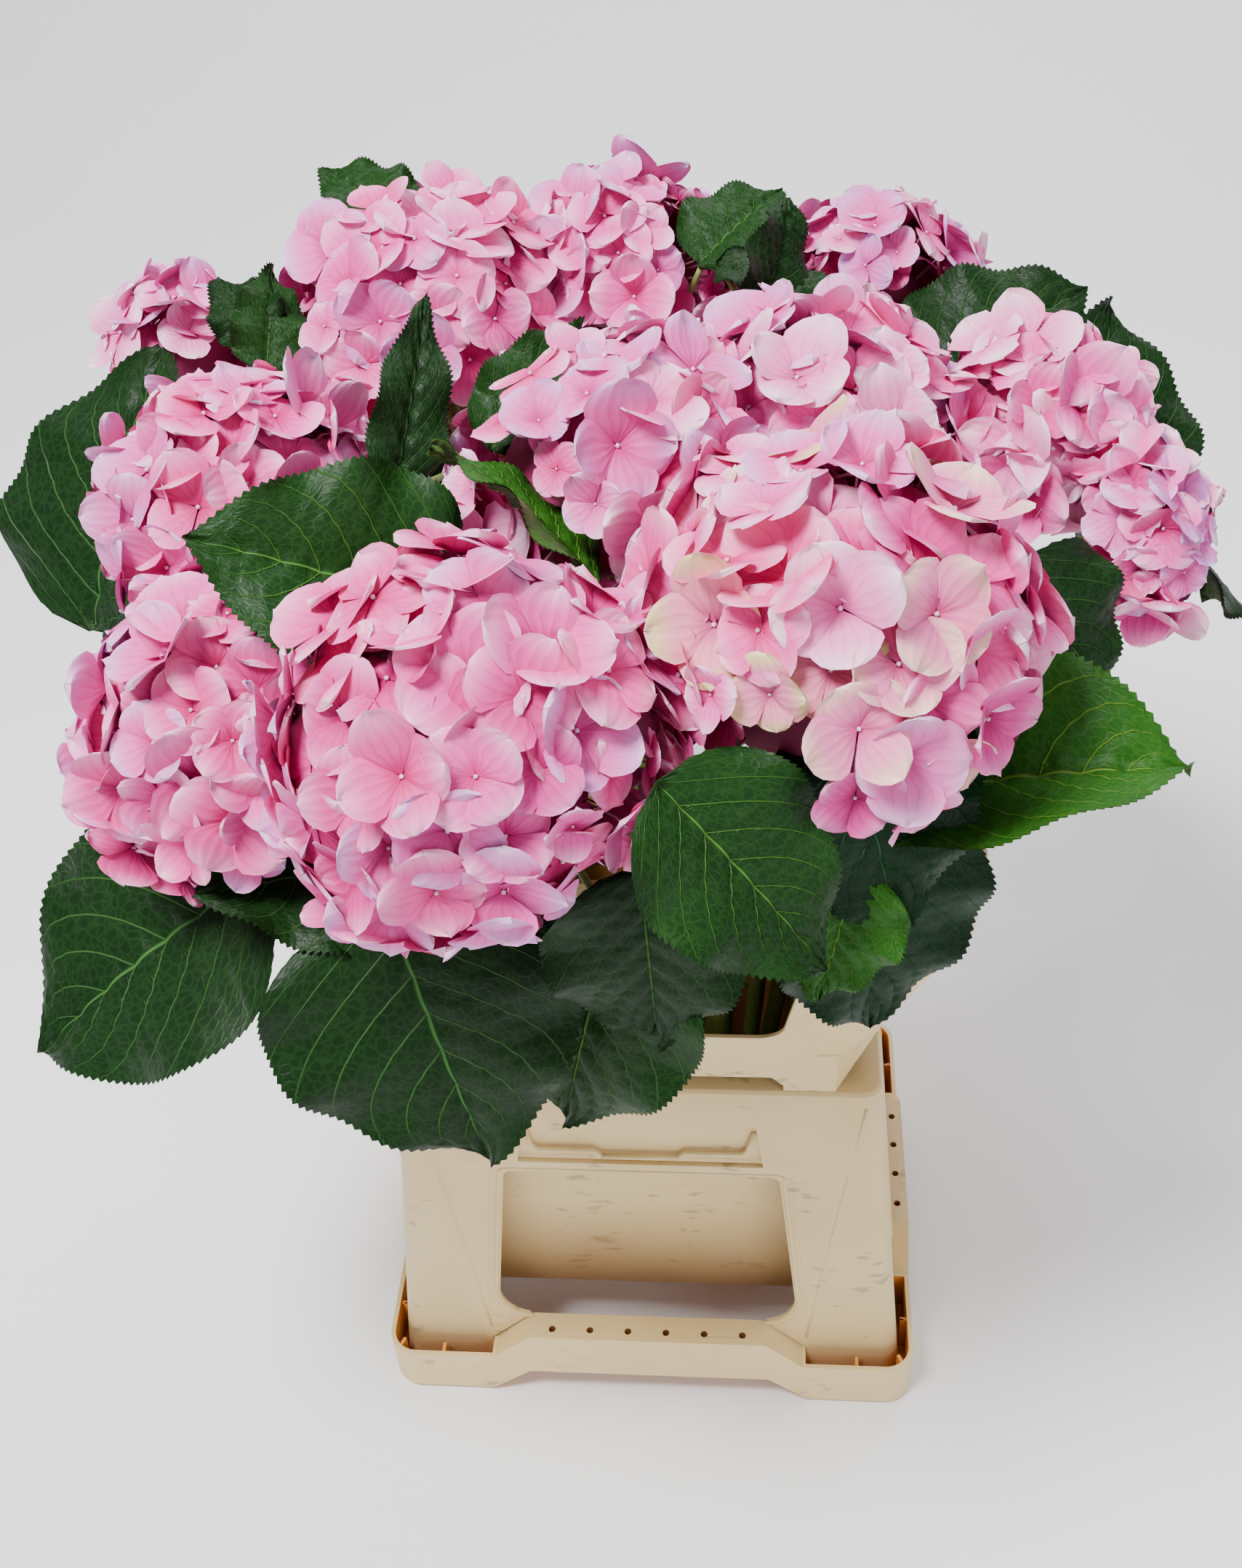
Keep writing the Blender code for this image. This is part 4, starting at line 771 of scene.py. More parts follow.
trims = []
narrow = RAIL_HALF_FRONT - RAIL_HALF_SIDE
for axis, foot_half, top_half, rail_half in (
    ("Y", WINDOW_HALF_FOOT, WINDOW_HALF_TOP, RAIL_HALF_FRONT),
    ("X", WINDOW_HALF_FOOT - narrow, WINDOW_HALF_TOP - narrow, RAIL_HALF_SIDE),
):
    right = window_right(foot_half + 0.0022, top_half + 0.0022, rail_half)
    right = [(a, b + (0.0022 if b > 0.12 else -0.0005)) for a, b in right]
    outline = right + [(-a, b) for a, b in reversed(right)]
    wide = [(a + math.copysign(0.0042, a), b + (0.0040 if b > 0.12 else 0.0)) for a, b in outline]
    for sign in (-1, 1):
        trims.append(wire("bead", [on_face(a, b, sign, axis, -0.0002) for a, b in outline], 0.0014))
        trims.append(wire("step", [on_face(a, b, sign, axis, -0.0004) for a, b in wide], 0.0009))
for sign in (-1, 1):
    for side in (-1, 1):
        low_lip = [(0.020, 0.1925), (0.024, 0.1965), (0.0530, 0.1965), (0.0560, 0.1990), (0.0590, 0.2125)]
        line = [on_face(side * a, b, sign, "Y", 0.0002) for a, b in low_lip]
        trims.append(wire("lip", line, 0.0016))
    line = [on_face(a, 0.1925, sign, "Y", 0.0002) for a in (-0.020, 0.0, 0.020)]
    trims.append(wire("lip", line, 0.0016))
    for side in (-1, 1):
        knots = [(0.0895 + (0.1150 - 0.0895) * i / 6, 0.046 + (0.232 - 0.046) * i / 6) for i in range(7)]
        trims.append(wire("crease", [on_face(side * a, b, sign, "Y", -0.0004) for a, b in knots], 0.0011))
trim = joined("body_beads", trims)
settle(trim, [], cream)

# %% Collar
COLLAR_FOOT = RIM_Z + GAP
COLLAR_X0 = 0.1213
COLLAR_Y0 = 0.0980
COLLAR_BEND = 0.268
CUFF_Z = 0.375
COLLAR_TOP = 0.420
CUFF_X = 0.1555
CUFF_Y = 0.1325
COLLAR_WALL = 0.0025
COLLAR_CORNER = 0.022
SILL_LOW = 0.252
SILL_HIGH = 0.290
POST_HALF_X = 0.0735
POST_HALF_Y = 0.0520
POST_CUT_Z = 0.2655


def collar_levels(inset, low, high):
    levels = []
    for half_x, half_y, z, flat in (
        (COLLAR_X0, COLLAR_Y0, low, 1.0),
        (COLLAR_X0, COLLAR_Y0, COLLAR_BEND, 1.0),
        (CUFF_X, CUFF_Y, CUFF_Z, 0.3),
        (CUFF_X + 0.001, CUFF_Y + 0.001, high, 0.0),
    ):
        corner = COLLAR_CORNER - inset * 0.5
        levels.append((rounded_outline(half_x - inset, half_y - inset, corner, 6, flat), z))
    return levels


def collar_window(half, lean):
    ease = 0.014
    right = []
    for step in range(9):
        turn = -math.pi / 2.0 + step * math.pi / 16.0
        right.append((half - ease + ease * math.cos(turn), SILL_HIGH + ease * (1.0 + math.sin(turn))))
    right.append((half + lean, CUFF_Z))
    return right + [(-a, b) for a, b in reversed(right)]


def collar_slot(half):
    right = [(half, COLLAR_FOOT - 0.01), (half, SILL_LOW - 0.006), (half - 0.006, SILL_LOW)]
    return right + [(-a, b) for a, b in reversed(right)]


def collar():
    made = loft("collar", collar_levels(0.0, COLLAR_FOOT, COLLAR_TOP))
    hollow = loft("hollow", collar_levels(COLLAR_WALL, COLLAR_FOOT - 0.01, COLLAR_TOP + 0.01))
    foot = [(COLLAR_X0 - COLLAR_CORNER, 0.23), (COLLAR_X0 - COLLAR_CORNER, COLLAR_FOOT)]
    foot += [(COLLAR_X0 - 0.001, POST_CUT_Z), (0.16, POST_CUT_Z), (0.16, 0.23)]
    cutters = [
        hollow,
        prism("window", collar_window(POST_HALF_X, 0.010), -0.2, 0.2, "Y"),
        prism("window", collar_window(POST_HALF_Y, 0.010), -0.2, 0.2, "X"),
        prism("slot", collar_slot(POST_HALF_X), -0.2, 0.2, "Y"),
        prism("slot", collar_slot(POST_HALF_Y), -0.2, 0.2, "X"),
        prism("foot", foot, -0.2, 0.2, "Y"),
        prism("foot", [(-a, b) for a, b in foot], -0.2, 0.2, "Y"),
    ]
    return softened(combined(made, cutters, "DIFFERENCE"), 0.0008)


band = collar()
nodes = ["collar_post_" + p for p in places]
nodes += [kind + s for kind in ("collar_cuff_", "collar_sill_") for s in sides]
settle(band, nodes, cream)

# %% [markdown]
# ## The plant's own rule
#
# Heads, stems and leaves stand where the solids have them. The same few driving values place them here:
# the middle and radius of each head, and for each leaf its tip, its heading, its length and its width.

# %% Heads and stems
HEADS = {
    "01": (-0.045, -0.165, 0.523, 0.079),
    "02": (-0.156, -0.100, 0.473, 0.080),
    "03": (-0.172, 0.010, 0.509, 0.076),
    "04": (-0.239, 0.160, 0.509, 0.049),
    "05": (-0.111, 0.140, 0.532, 0.080),
    "06": (-0.008, 0.175, 0.542, 0.064),
    "07": (0.117, 0.170, 0.526, 0.059),
    "08": (-0.004, -0.020, 0.543, 0.074),
    "09": (0.087, -0.122, 0.536, 0.084),
    "10": (0.185, 0.060, 0.522, 0.059),
    "11": (0.225, 0.010, 0.499, 0.046),
    "12": (0.082, 0.034, 0.527, 0.072),
    "13": (-0.125, 0.240, 0.465, 0.060),
    "14": (0.030, 0.262, 0.466, 0.060),
    "15": (0.172, 0.200, 0.445, 0.056),
}
DOME_SWEEP = 118.0
DOME_FLAT = 0.90
GOLDEN = math.pi * (3.0 - math.sqrt(5.0))
STEM_R0 = 0.0052
STEM_R1 = 0.0038
STEM_SPREAD = 0.30
STEM_BEND_Z = 0.425
STEM_BEND_SPREAD = 0.52
FOOT_X = 0.070
FOOT_Y = 0.050
BEND_X = 0.105
BEND_Y = 0.078
FOOT_SHIFT = {"13": -0.020}
BEND_RISE = {"04": 0.055, "11": 0.050, "13": 0.135, "14": 0.135, "15": 0.135}


def head_frame(key):
    x, y, z, radius = HEADS[key]
    middle = Vector((x, y, z))
    bend = Vector((
        max(-BEND_X, min(BEND_X, x * STEM_BEND_SPREAD)),
        max(-BEND_Y, min(BEND_Y, y * STEM_BEND_SPREAD)),
        STEM_BEND_Z + BEND_RISE.get(key, 0.0),
    ))
    axis = (middle - bend).normalized()
    neck = middle - axis * radius * 0.55
    foot_x = max(-FOOT_X, min(FOOT_X, x * STEM_SPREAD)) + FOOT_SHIFT.get(key, 0.0)
    foot_y = max(-FOOT_Y, min(FOOT_Y, y * STEM_SPREAD))
    foot = Vector((foot_x, foot_y, TUB_FLOOR + TUB_WALL + GAP))
    return middle, radius, axis, neck, bend, foot


def stem_point(key, part):
    middle, radius, axis, neck, bend, foot = head_frame(key)
    keep = 1.0 - part
    return foot * keep * keep + bend * 2.0 * keep * part + neck * part * part


def limb(points, radii, around, relief, rng):
    """Vertices and faces of a round limb whose skin swells and shrinks a little, as bark does."""
    points = [Vector(p) for p in points]
    verts = []
    faces = []
    side = Vector((0.0, 0.0, 1.0)).cross(points[1] - points[0])
    if side.length < 1e-6:
        side = Vector((1.0, 0.0, 0.0))
    for i, place in enumerate(points):
        ahead = points[min(i + 1, len(points) - 1)] - points[max(i - 1, 0)]
        ahead.normalize()
        side = (side - ahead * side.dot(ahead)).normalized()
        other = ahead.cross(side)
        for j in range(around):
            turn = math.tau * j / around
            reach = radii[i] * (1.0 + relief * rng.uniform(-1.0, 1.0))
            verts.append(place + (side * math.cos(turn) + other * math.sin(turn)) * reach)
    for i in range(len(points) - 1):
        for j in range(around):
            k = (j + 1) % around
            faces.append((i * around + j, i * around + k, (i + 1) * around + k, (i + 1) * around + j))
    faces.append(tuple(reversed(range(around))))
    last = (len(points) - 1) * around
    faces.append(tuple(range(last, last + around)))
    return verts, faces


def gathered(name, parts):
    """One mesh of many (vertices, faces) parts."""
    verts = []
    faces = []
    for part_verts, part_faces in parts:
        start = len(verts)
        verts += [tuple(v) for v in part_verts]
        faces += [tuple(i + start for i in face) for face in part_faces]
    mesh = bpy.data.meshes.new(name)
    mesh.from_pydata(verts, [], faces)
    for face in mesh.polygons:
        face.use_smooth = True
    return new_object(name, mesh)


rng = random.Random(11)
limbs = []
for key in HEADS:
    knots = 64
    middle, radius, axis, neck, bend, foot = head_frame(key)
    points = [stem_point(key, i / (knots - 1)) for i in range(knots)]
    points.append(neck + axis * radius * 0.3)
    radii = [STEM_R0 + (0.0033 - STEM_R0) * i / knots for i in range(knots + 1)]
    for joint in (22, 40, 54):
        for near, swell in ((-1, 1.10), (0, 1.22), (1, 1.10)):
            radii[joint + near] *= swell
    limbs.append(limb(points, radii, 14, 0.035, rng))
stems = gathered("stems", limbs)
settle(stems, ["stem_" + key for key in HEADS], stem_finish)

# %% [markdown]
# ## Leaves
#
# A hydrangea leaf is broad and drawn out to a tip, with forward pointing teeth, a sunk midrib and side
# veins that curve towards the tip, and the blade swells between them. Each leaf here is one grid whose
# edge rows alternate between notch and tooth. Upper side and underside are separate sheets a hair apart.

# %% Leaf rows
LEAVES = [
    ("01", -105, 207, 319, -45, -68, 132, 146, 0, 12, 0),
    ("01", -134, 237, 446, -144, 19, 92, 100, 0, 12, 0),
    ("01", -97, 181, 323, -155, -76, 118, 112, 0, 12, 1),
    ("01", -84, 191, 390, 0, -88, 95, 90, 0, 12, 0),
    ("02", -149, 306, 332, -163, -36, 146, 146, 0, 12, 0),
    ("02", -167, 258, 404, -161, -25, 72, 40, 0, 12, 0),
    ("03", 153, 263, 537, 64, 51, 145, 152, 0, 12, 0),
    ("08", -145, 191, 576, -170, 26, 112, 106, 0, 12, 1),
    ("05", 166, 84, 609, 79, 46, 84, 38, 60, 12, 0),
    ("08", -139, 91, 585, 150, 28, 86, 66, 70, 12, 2),
    ("08", 119, 34, 590, 56, 24, 70, 46, 30, 12, 1),
    ("04", 149, 232, 573, 130, 23, 46, 40, 0, 12, 0),
    ("04", 145, 212, 576, 93, 30, 58, 42, 40, 12, 1),
    ("05", 129, 257, 594, 141, 15, 62, 52, 0, 12, 1),
    ("06", 70, 202, 582, 49, 15, 64, 58, 0, 12, 1),
    ("06", 65, 165, 595, 75, 35, 74, 56, 50, 12, 0),
    ("07", 48, 147, 553, -15, -17, 66, 56, 0, 12, 0),
    ("10", 33, 255, 552, 26, 19, 96, 90, 0, 12, 0),
    ("10", 30, 257, 551, 81, 40, 110, 106, 0, 12, 0),
    ("11", -19, 214, 460, -22, -60, 80, 75, 0, 12, 0),
    ("09", -30, 261, 483, -6, 14, 122, 146, -20, 34, 2),
    ("09", -43, 196, 434, -18, -56, 90, 80, 0, 12, 0),
    ("09", -58, 212, 443, -52, -67, 95, 100, 0, 12, 3),
    ("09", -56, 192, 364, -58, -82, 112, 108, 0, 12, 3),
    ("09", -66, 207, 414, -134, -73, 60, 56, 0, 12, 2),
    ("09", -68, 227, 454, -10, -53, 102, 84, 0, 12, 1),
]
SKIRT = {
    "02": (-60,),
    "03": (-4,),
    "04": (-22, 30),
    "05": (8,),
    "10": (14,),
    "11": (42,),
    "13": (-34, 14, 60),
    "14": (-46, 0, 46),
    "15": (-52, -4, 46),
}
LEAF_BEND = 26.0
LEAF_LIGHT = Vector((0.03, -0.35, 0.85))
LEAF_ROWS = 84
LEAF_COLUMNS = 14


def direction(turn, rise):
    a = math.radians(turn)
    b = math.radians(rise)
    return Vector((math.cos(a) * math.cos(b), math.sin(a) * math.cos(b), math.sin(b)))


def skirt_rows(key):
    x, y, z, radius = HEADS[key]
    rows = []
    out = math.degrees(math.atan2(y, x))
    for i, extra in enumerate(SKIRT.get(key, ())):
        turn = out + extra
        rise = -44.0 - 10.0 * (i % 2)
        tip = Vector((x, y, z)) + direction(turn, rise) * (radius + 0.058)
        around = math.degrees(math.atan2(tip.y, tip.x))
        flat = 1000.0 * math.hypot(tip.x, tip.y)
        rows.append((key, around, flat, 1000.0 * tip.z, turn, rise - 6.0, 108, 96, 0, 12, i % 2))
    return rows


def leaf_frame(row):
    key, turn, out, high, head_turn, head_rise, length, width, roll, fold, tint = row
    tip = direction(turn, 0.0) * out / 1000.0 + Vector((0.0, 0.0, high / 1000.0))
    chord = direction(head_turn, head_rise)
    light = direction(turn, 0.0) * 0.35 + LEAF_LIGHT
    upper = (light - chord * light.dot(chord)).normalized()
    upper = Matrix.Rotation(math.radians(roll), 3, chord) @ upper
    bend = math.radians(LEAF_BEND)
    size = length / 1000.0
    foot = tip - chord * size * math.sin(bend / 2.0) / (bend / 2.0)
    return foot, chord, upper, size, width / 1000.0, bend, math.radians(fold)


def leaf_half(part):
    """Half width of the blade, as a share of the greatest: broad, with a drawn out tip."""
    return 2.56 * np.clip(part, 0.0, 1.0) ** 0.50 * (1.0 - np.clip(part, 0.0, 1.0)) ** 0.97


def blade(row, rng):
    """Upper sheet of one leaf: vertex places, their map places and the way the leaf's upper side looks."""
    foot, chord, upper, size, width, bend, fold = leaf_frame(row)
    tall = np.linspace(0.0, 1.0, LEAF_ROWS)
    wide = np.linspace(-1.0, 1.0, LEAF_COLUMNS + 1)
    part, across = np.meshgrid(tall, wide, indexing="ij")
    edge = np.abs(across) ** 6
    tooth = np.where(np.arange(LEAF_ROWS) % 2 == 1, 1.0, 0.0)[:, None]
    depth = 0.0014 * np.sin(math.pi * part ** 0.8) ** 0.3
    half = leaf_half(part) * width / 2.0 * 0.92 + (tooth - 0.45) * depth * edge
    part_at = part + (tooth * 0.0011 / size - 0.003) * edge
    side_at = across * np.maximum(half, 0.0)
    slope = part - VEIN_SLOPE * np.abs(across) - VEIN_CURVE * across ** 2
    swell = np.abs(np.sin(math.pi * slope / (2 * VEIN_STEP)))
    lift = 0.0024 * swell * (1.0 - np.abs(across) ** 3) - 0.0020 * np.exp(-((across / 0.07) ** 2))
    phase = rng.uniform(0.0, math.tau)
    turns = rng.uniform(2.2, 3.4)
    lift = lift + 0.0035 * np.sin(math.tau * turns * part + phase) * np.abs(across) ** 2.2 * np.sign(across)
    lift = lift + rng.uniform(-0.004, 0.004) * across * part
    lift = lift + np.abs(side_at) * math.sin(fold)
    turn = bend / 2.0 - bend * part_at
    along = size * (math.sin(bend / 2.0) - np.sin(turn)) / bend
    high = size * (np.cos(turn) - math.cos(bend / 2.0)) / bend
    side = np.array(chord.cross(upper)) * math.cos(fold)
    chord_a = np.array(chord)
    upper_a = np.array(upper)
    normal = upper_a * np.cos(turn)[..., None] - chord_a * np.sin(turn)[..., None]
    place = np.array(foot) + chord_a * along[..., None] + upper_a * high[..., None]
    place = place + side * side_at[..., None] + normal * lift[..., None]
    tint = row[10]
    u = ((across * 0.47 + 0.5) + tint % LEAF_TILES) / LEAF_TILES
    v = ((part * 0.96 + 0.02) + tint // LEAF_TILES) / LEAF_TILES
    return place.reshape(-1, 3), np.stack([u, v], -1).reshape(-1, 2), normal.reshape(-1, 3)


def sheet_faces(rows, columns, flip):
    step = columns + 1
    quads = []
    for i in range(rows - 1):
        for j in range(columns):
            quad = (i * step + j, i * step + j + 1, (i + 1) * step + j + 1, (i + 1) * step + j)
            quads.append(tuple(reversed(quad)) if flip else quad)
    return np.array(quads)


def mapped_mesh(name, sheets, faces):
    """One mesh of many sheets of the same faces, with the map that its finish reads."""
    count = len(sheets[0][0])
    verts = np.concatenate([s[0] for s in sheets])
    every = np.concatenate([faces + i * count for i in range(len(sheets))])
    maps = np.concatenate([s[1] for s in sheets])
    mesh = bpy.data.meshes.new(name)
    mesh.from_pydata(verts.tolist(), [], every.tolist())
    layer = mesh.uv_layers.new(name="OFBake")
    corners = np.empty(len(mesh.loops), dtype=np.int32)
    mesh.loops.foreach_get("vertex_index", corners)
    layer.data.foreach_set("uv", maps[corners].ravel())
    for face in mesh.polygons:
        face.use_smooth = True
    return new_object(name, mesh)


# %% Make the leaves
def inner_rows(key, rng):
    """Dark leaves low inside the crown, that close the view down between the heads."""
    x, y, z, radius = HEADS[key]
    rows = []
    for turn in (rng.uniform(0, 120) + 120 * i for i in range(3)):
        tip = Vector((x, y, z - radius - 0.018)) + direction(turn, -12.0) * 0.085
        around = math.degrees(math.atan2(tip.y, tip.x))
        flat = 1000.0 * math.hypot(tip.x, tip.y)
        rows.append((key, around, flat, 1000.0 * tip.z, turn, -14.0, 92, 84, 0, 12, 0))
    return rows


rng = random.Random(5)
rows = list(LEAVES)
for key in HEADS:
    rows += skirt_rows(key)
for key in ("05", "08", "12"):
    rows += inner_rows(key, rng)
tops = []
unders = []
stalks = []
LEAF_SKIN = 0.00045
for row in rows:
    place, spot, normal = blade(row, rng)
    tops.append((place + normal * LEAF_SKIN / 2.0, spot))
    unders.append((place - normal * LEAF_SKIN / 2.0, spot))
    frame_row = leaf_frame(row)
    foot = frame_row[0]
    key = row[0]
    root = stem_point(key, 0.90)
    middle = root.lerp(foot, 0.55) + Vector((0.0, 0.0, -0.006))
    end = foot + frame_row[1] * 0.004
    knots = 12
    line = []
    for i in range(knots):
        t = i / (knots - 1)
        line.append(root * (1 - t) ** 2 + middle * 2 * t * (1 - t) + end * t * t)
    stalks.append(limb(line, [0.0022 - 0.0008 * i / (knots - 1) for i in range(knots)], 8, 0.04, rng))
upper_faces = sheet_faces(LEAF_ROWS, LEAF_COLUMNS, True)
leaves = mapped_mesh("leaves_upper_sides", tops, upper_faces)
backs = mapped_mesh("leaves_undersides", unders, upper_faces[:, ::-1])
leaf_tree = KDTree(sum(len(s[0]) for s in tops))
count = 0
for place, spot in tops:
    for p in place:
        leaf_tree.insert(p, count)
        count += 1
leaf_tree.balance()
settle(leaves, ["bloom_" + key for key in HEADS], leaf_top)
settle(backs, [], leaf_under)
stalk_piece = gathered("leaf_stalks", stalks)
settle(stalk_piece, [], stalk_finish)

# %% [markdown]
# ## Florets
#
# A floret has four broad sepals that overlap round a small bud. Eight slightly different ones are enough:
# Geometry Nodes sets them on points that follow the golden angle over each dome, turned to face outwards.

# %% One floret
PETAL_ROWS = 8
PETAL_COLUMNS = 8


def petal(start, length, width, lift, cup, twist, wave, teeth, phase):
    """Grid of one sepal: narrow where it leaves the heart, broad and round outside."""
    tall = 1.0 - (1.0 - np.linspace(0.0, 1.0, PETAL_ROWS)) ** 1.6
    wide = np.linspace(-1.0, 1.0, PETAL_COLUMNS + 1)
    part, across = np.meshgrid(tall, wide, indexing="ij")
    round_off = np.sin(math.pi * np.clip(part, 0.0, 1.0) ** 0.92) ** 0.42
    waist = 0.30 + 0.70 * np.clip(part / 0.45, 0.0, 1.0) ** 1.2
    half = np.maximum(width * round_off * waist, 0.010)
    edge = np.abs(across) ** 8
    half = half * (1.0 + teeth * edge * np.where(np.arange(PETAL_ROWS) % 2 == 1, 1.0, -1.0)[:, None])
    x = length * (0.03 + 0.97 * part)
    y = across * half
    z = lift * x + cup * x ** 2 + twist * y * part + 0.10 * np.abs(across) ** 2 * part * cup
    z = z + wave * np.sin(4.2 * across + phase) * part ** 2
    turned_x = x * math.cos(start) - y * math.sin(start)
    turned_y = x * math.sin(start) + y * math.cos(start)
    spot = np.stack([(across * 0.46 + 0.5) / TILES, (part * 0.96 + 0.02) / TILES], -1)
    return np.stack([turned_x, turned_y, z], -1).reshape(-1, 3), spot.reshape(-1, 2)


def floret(name, rng, teeth, bowl):
    """Four sepals, the upper pair over the lower one. Bowl says how far they stand up round the heart."""
    sheets = []
    for k in range(4):
        upper_pair = k % 2
        sheets.append(petal(
            start=k * math.pi / 2.0 + rng.uniform(-0.16, 0.16),
            length=rng.uniform(0.84, 1.10),
            width=rng.uniform(0.52, 0.66),
            lift=bowl + rng.uniform(-0.10, 0.16) + 0.07 * upper_pair,
            cup=rng.uniform(-0.50, 0.10) if bowl > 0.2 else rng.uniform(-0.30, 0.25),
            twist=rng.uniform(-0.40, 0.40),
            wave=rng.uniform(0.02, 0.09),
            teeth=teeth,
            phase=rng.uniform(0.0, math.tau),
        ))
    made = mapped_mesh(name, sheets, sheet_faces(PETAL_ROWS, PETAL_COLUMNS, True))
    work.objects.unlink(made)
    made.data.materials.append(sepal_finish)
    return made


rng = random.Random(8)
floret_kinds = bpy.data.collections.new("floret kinds")
KINDS = 14
for i in range(KINDS):
    teeth = 0.10 if i >= 12 else 0.012
    bowl = (0.05, 0.30, 0.55)[i % 3]
    floret_kinds.objects.link(floret("floret_kind_%02d" % i, rng, teeth, bowl))
bead_kinds = bpy.data.collections.new("bead kinds")
bm = bmesh.new()
bmesh.ops.create_icosphere(bm, subdivisions=1, radius=0.048)
bmesh.ops.translate(bm, verts=bm.verts, vec=(0.0, 0.0, 0.040))
mesh = bpy.data.meshes.new("bead")
bm.to_mesh(mesh)
bm.free()
bead_kinds.objects.link(bpy.data.objects.new("bead_kind", mesh))

# %% Where the florets stand
FLORET_R = 0.0222
REACH = {"01": 0.86, "02": 0.80, "03": 0.81, "04": 0.82, "06": 0.82, "09": 0.86, "10": 0.80, "11": 0.80}
PER_AREA = 86.0 / 0.079 ** 2
TINTS = {
    "01": (0, 1, 2, 4, 9, 13, 14, 15), "02": (0, 1, 2, 4, 9, 14, 15), "03": (0, 1, 3, 4, 6, 14, 15),
    "04": (3, 4, 6, 7, 8), "05": (0, 1, 3, 4, 14, 15), "06": (1, 3, 4, 6, 14), "07": (3, 4, 6, 7, 8),
    "08": (1, 3, 4, 6, 8, 9, 14), "09": (0, 1, 3, 6, 8, 9, 9, 10, 11, 13, 14), "10": (0, 1, 3, 4, 6, 8),
    "11": (1, 4, 6, 7, 8), "12": (1, 3, 4, 6, 8, 14), "13": (0, 1, 3, 4, 14), "14": (1, 2, 3, 9, 15),
    "15": (0, 3, 4, 6, 14),
}
# painted shade: the lower layer of florets takes only the darkest pinks, for the shade under the upper layer
DARK_TILES_FOR_SHADE = (2, 5, 13)


def nearest_head(spot):
    def depth(key):
        x, y, z, radius = HEADS[key]
        return (spot - Vector((x, y, z))).length_squared - radius ** 2
    return min(HEADS, key=depth)


def floret_points(key, rng):
    """Golden angle spiral over a dome, with a second, deeper layer under it."""
    middle, radius, axis, neck, bend, foot = head_frame(key)
    turn = axis.to_track_quat("Z", "Y").to_matrix()
    edge = math.cos(math.radians(DOME_SWEEP))
    points = []
    for layer, reach, share in ((0, REACH.get(key, 0.88), 1.0), (1, 0.70, 0.50)):
        count = int(PER_AREA * radius ** 2 * share * (1.40 if radius < 0.066 else 1.0))
        for i in range(count):
            rise = 1.0 - (i + 0.5) / count * (1.0 - edge)
            around = i * GOLDEN + 1.3 * layer
            flat = math.sqrt(max(0.0, 1.0 - rise * rise))
            way = Vector((flat * math.cos(around), flat * math.sin(around), rise))
            out = radius * reach * (0.95, 1.0, 1.05)[i % 3] * rng.uniform(0.985, 1.015)
            spot = middle + turn @ Vector((way.x * out, way.y * out, way.z * out * DOME_FLAT))
            tilt = Vector([rng.gauss(0.0, 0.21) for axis_i in range(3)])
            facing = ((turn @ way).normalized() + tilt).normalized()
            for keep in (1.0, 0.92, 0.84, 0.76, 0.68):
                held = middle + (spot - middle) * keep
                if nearest_head(held) == key:
                    break
            if nearest_head(held) != key:
                continue
            near = leaf_tree.find(held)[2]
            if near < 0.0145:
                continue
            size = FLORET_R * rng.uniform(0.80, 1.14) * (0.85 if layer else 1.0)
            size *= 0.90 if radius < 0.05 else 1.0
            if near < 0.023:
                size *= 0.68
            kinds = (12, 13, 12, 13, 3, 4, 5) if key in ("10", "11") else range(12)
            tile = rng.choice(DARK_TILES_FOR_SHADE if layer else TINTS[key])
            points.append((held, facing, rng.uniform(0.0, math.tau), size, rng.choice(kinds), tile, layer))
    return points


# %% [markdown]
# The tree reads five values of each point: the way it faces, its spin, its size, which floret it takes and
# which tile of tints. It ends with the instances made real.

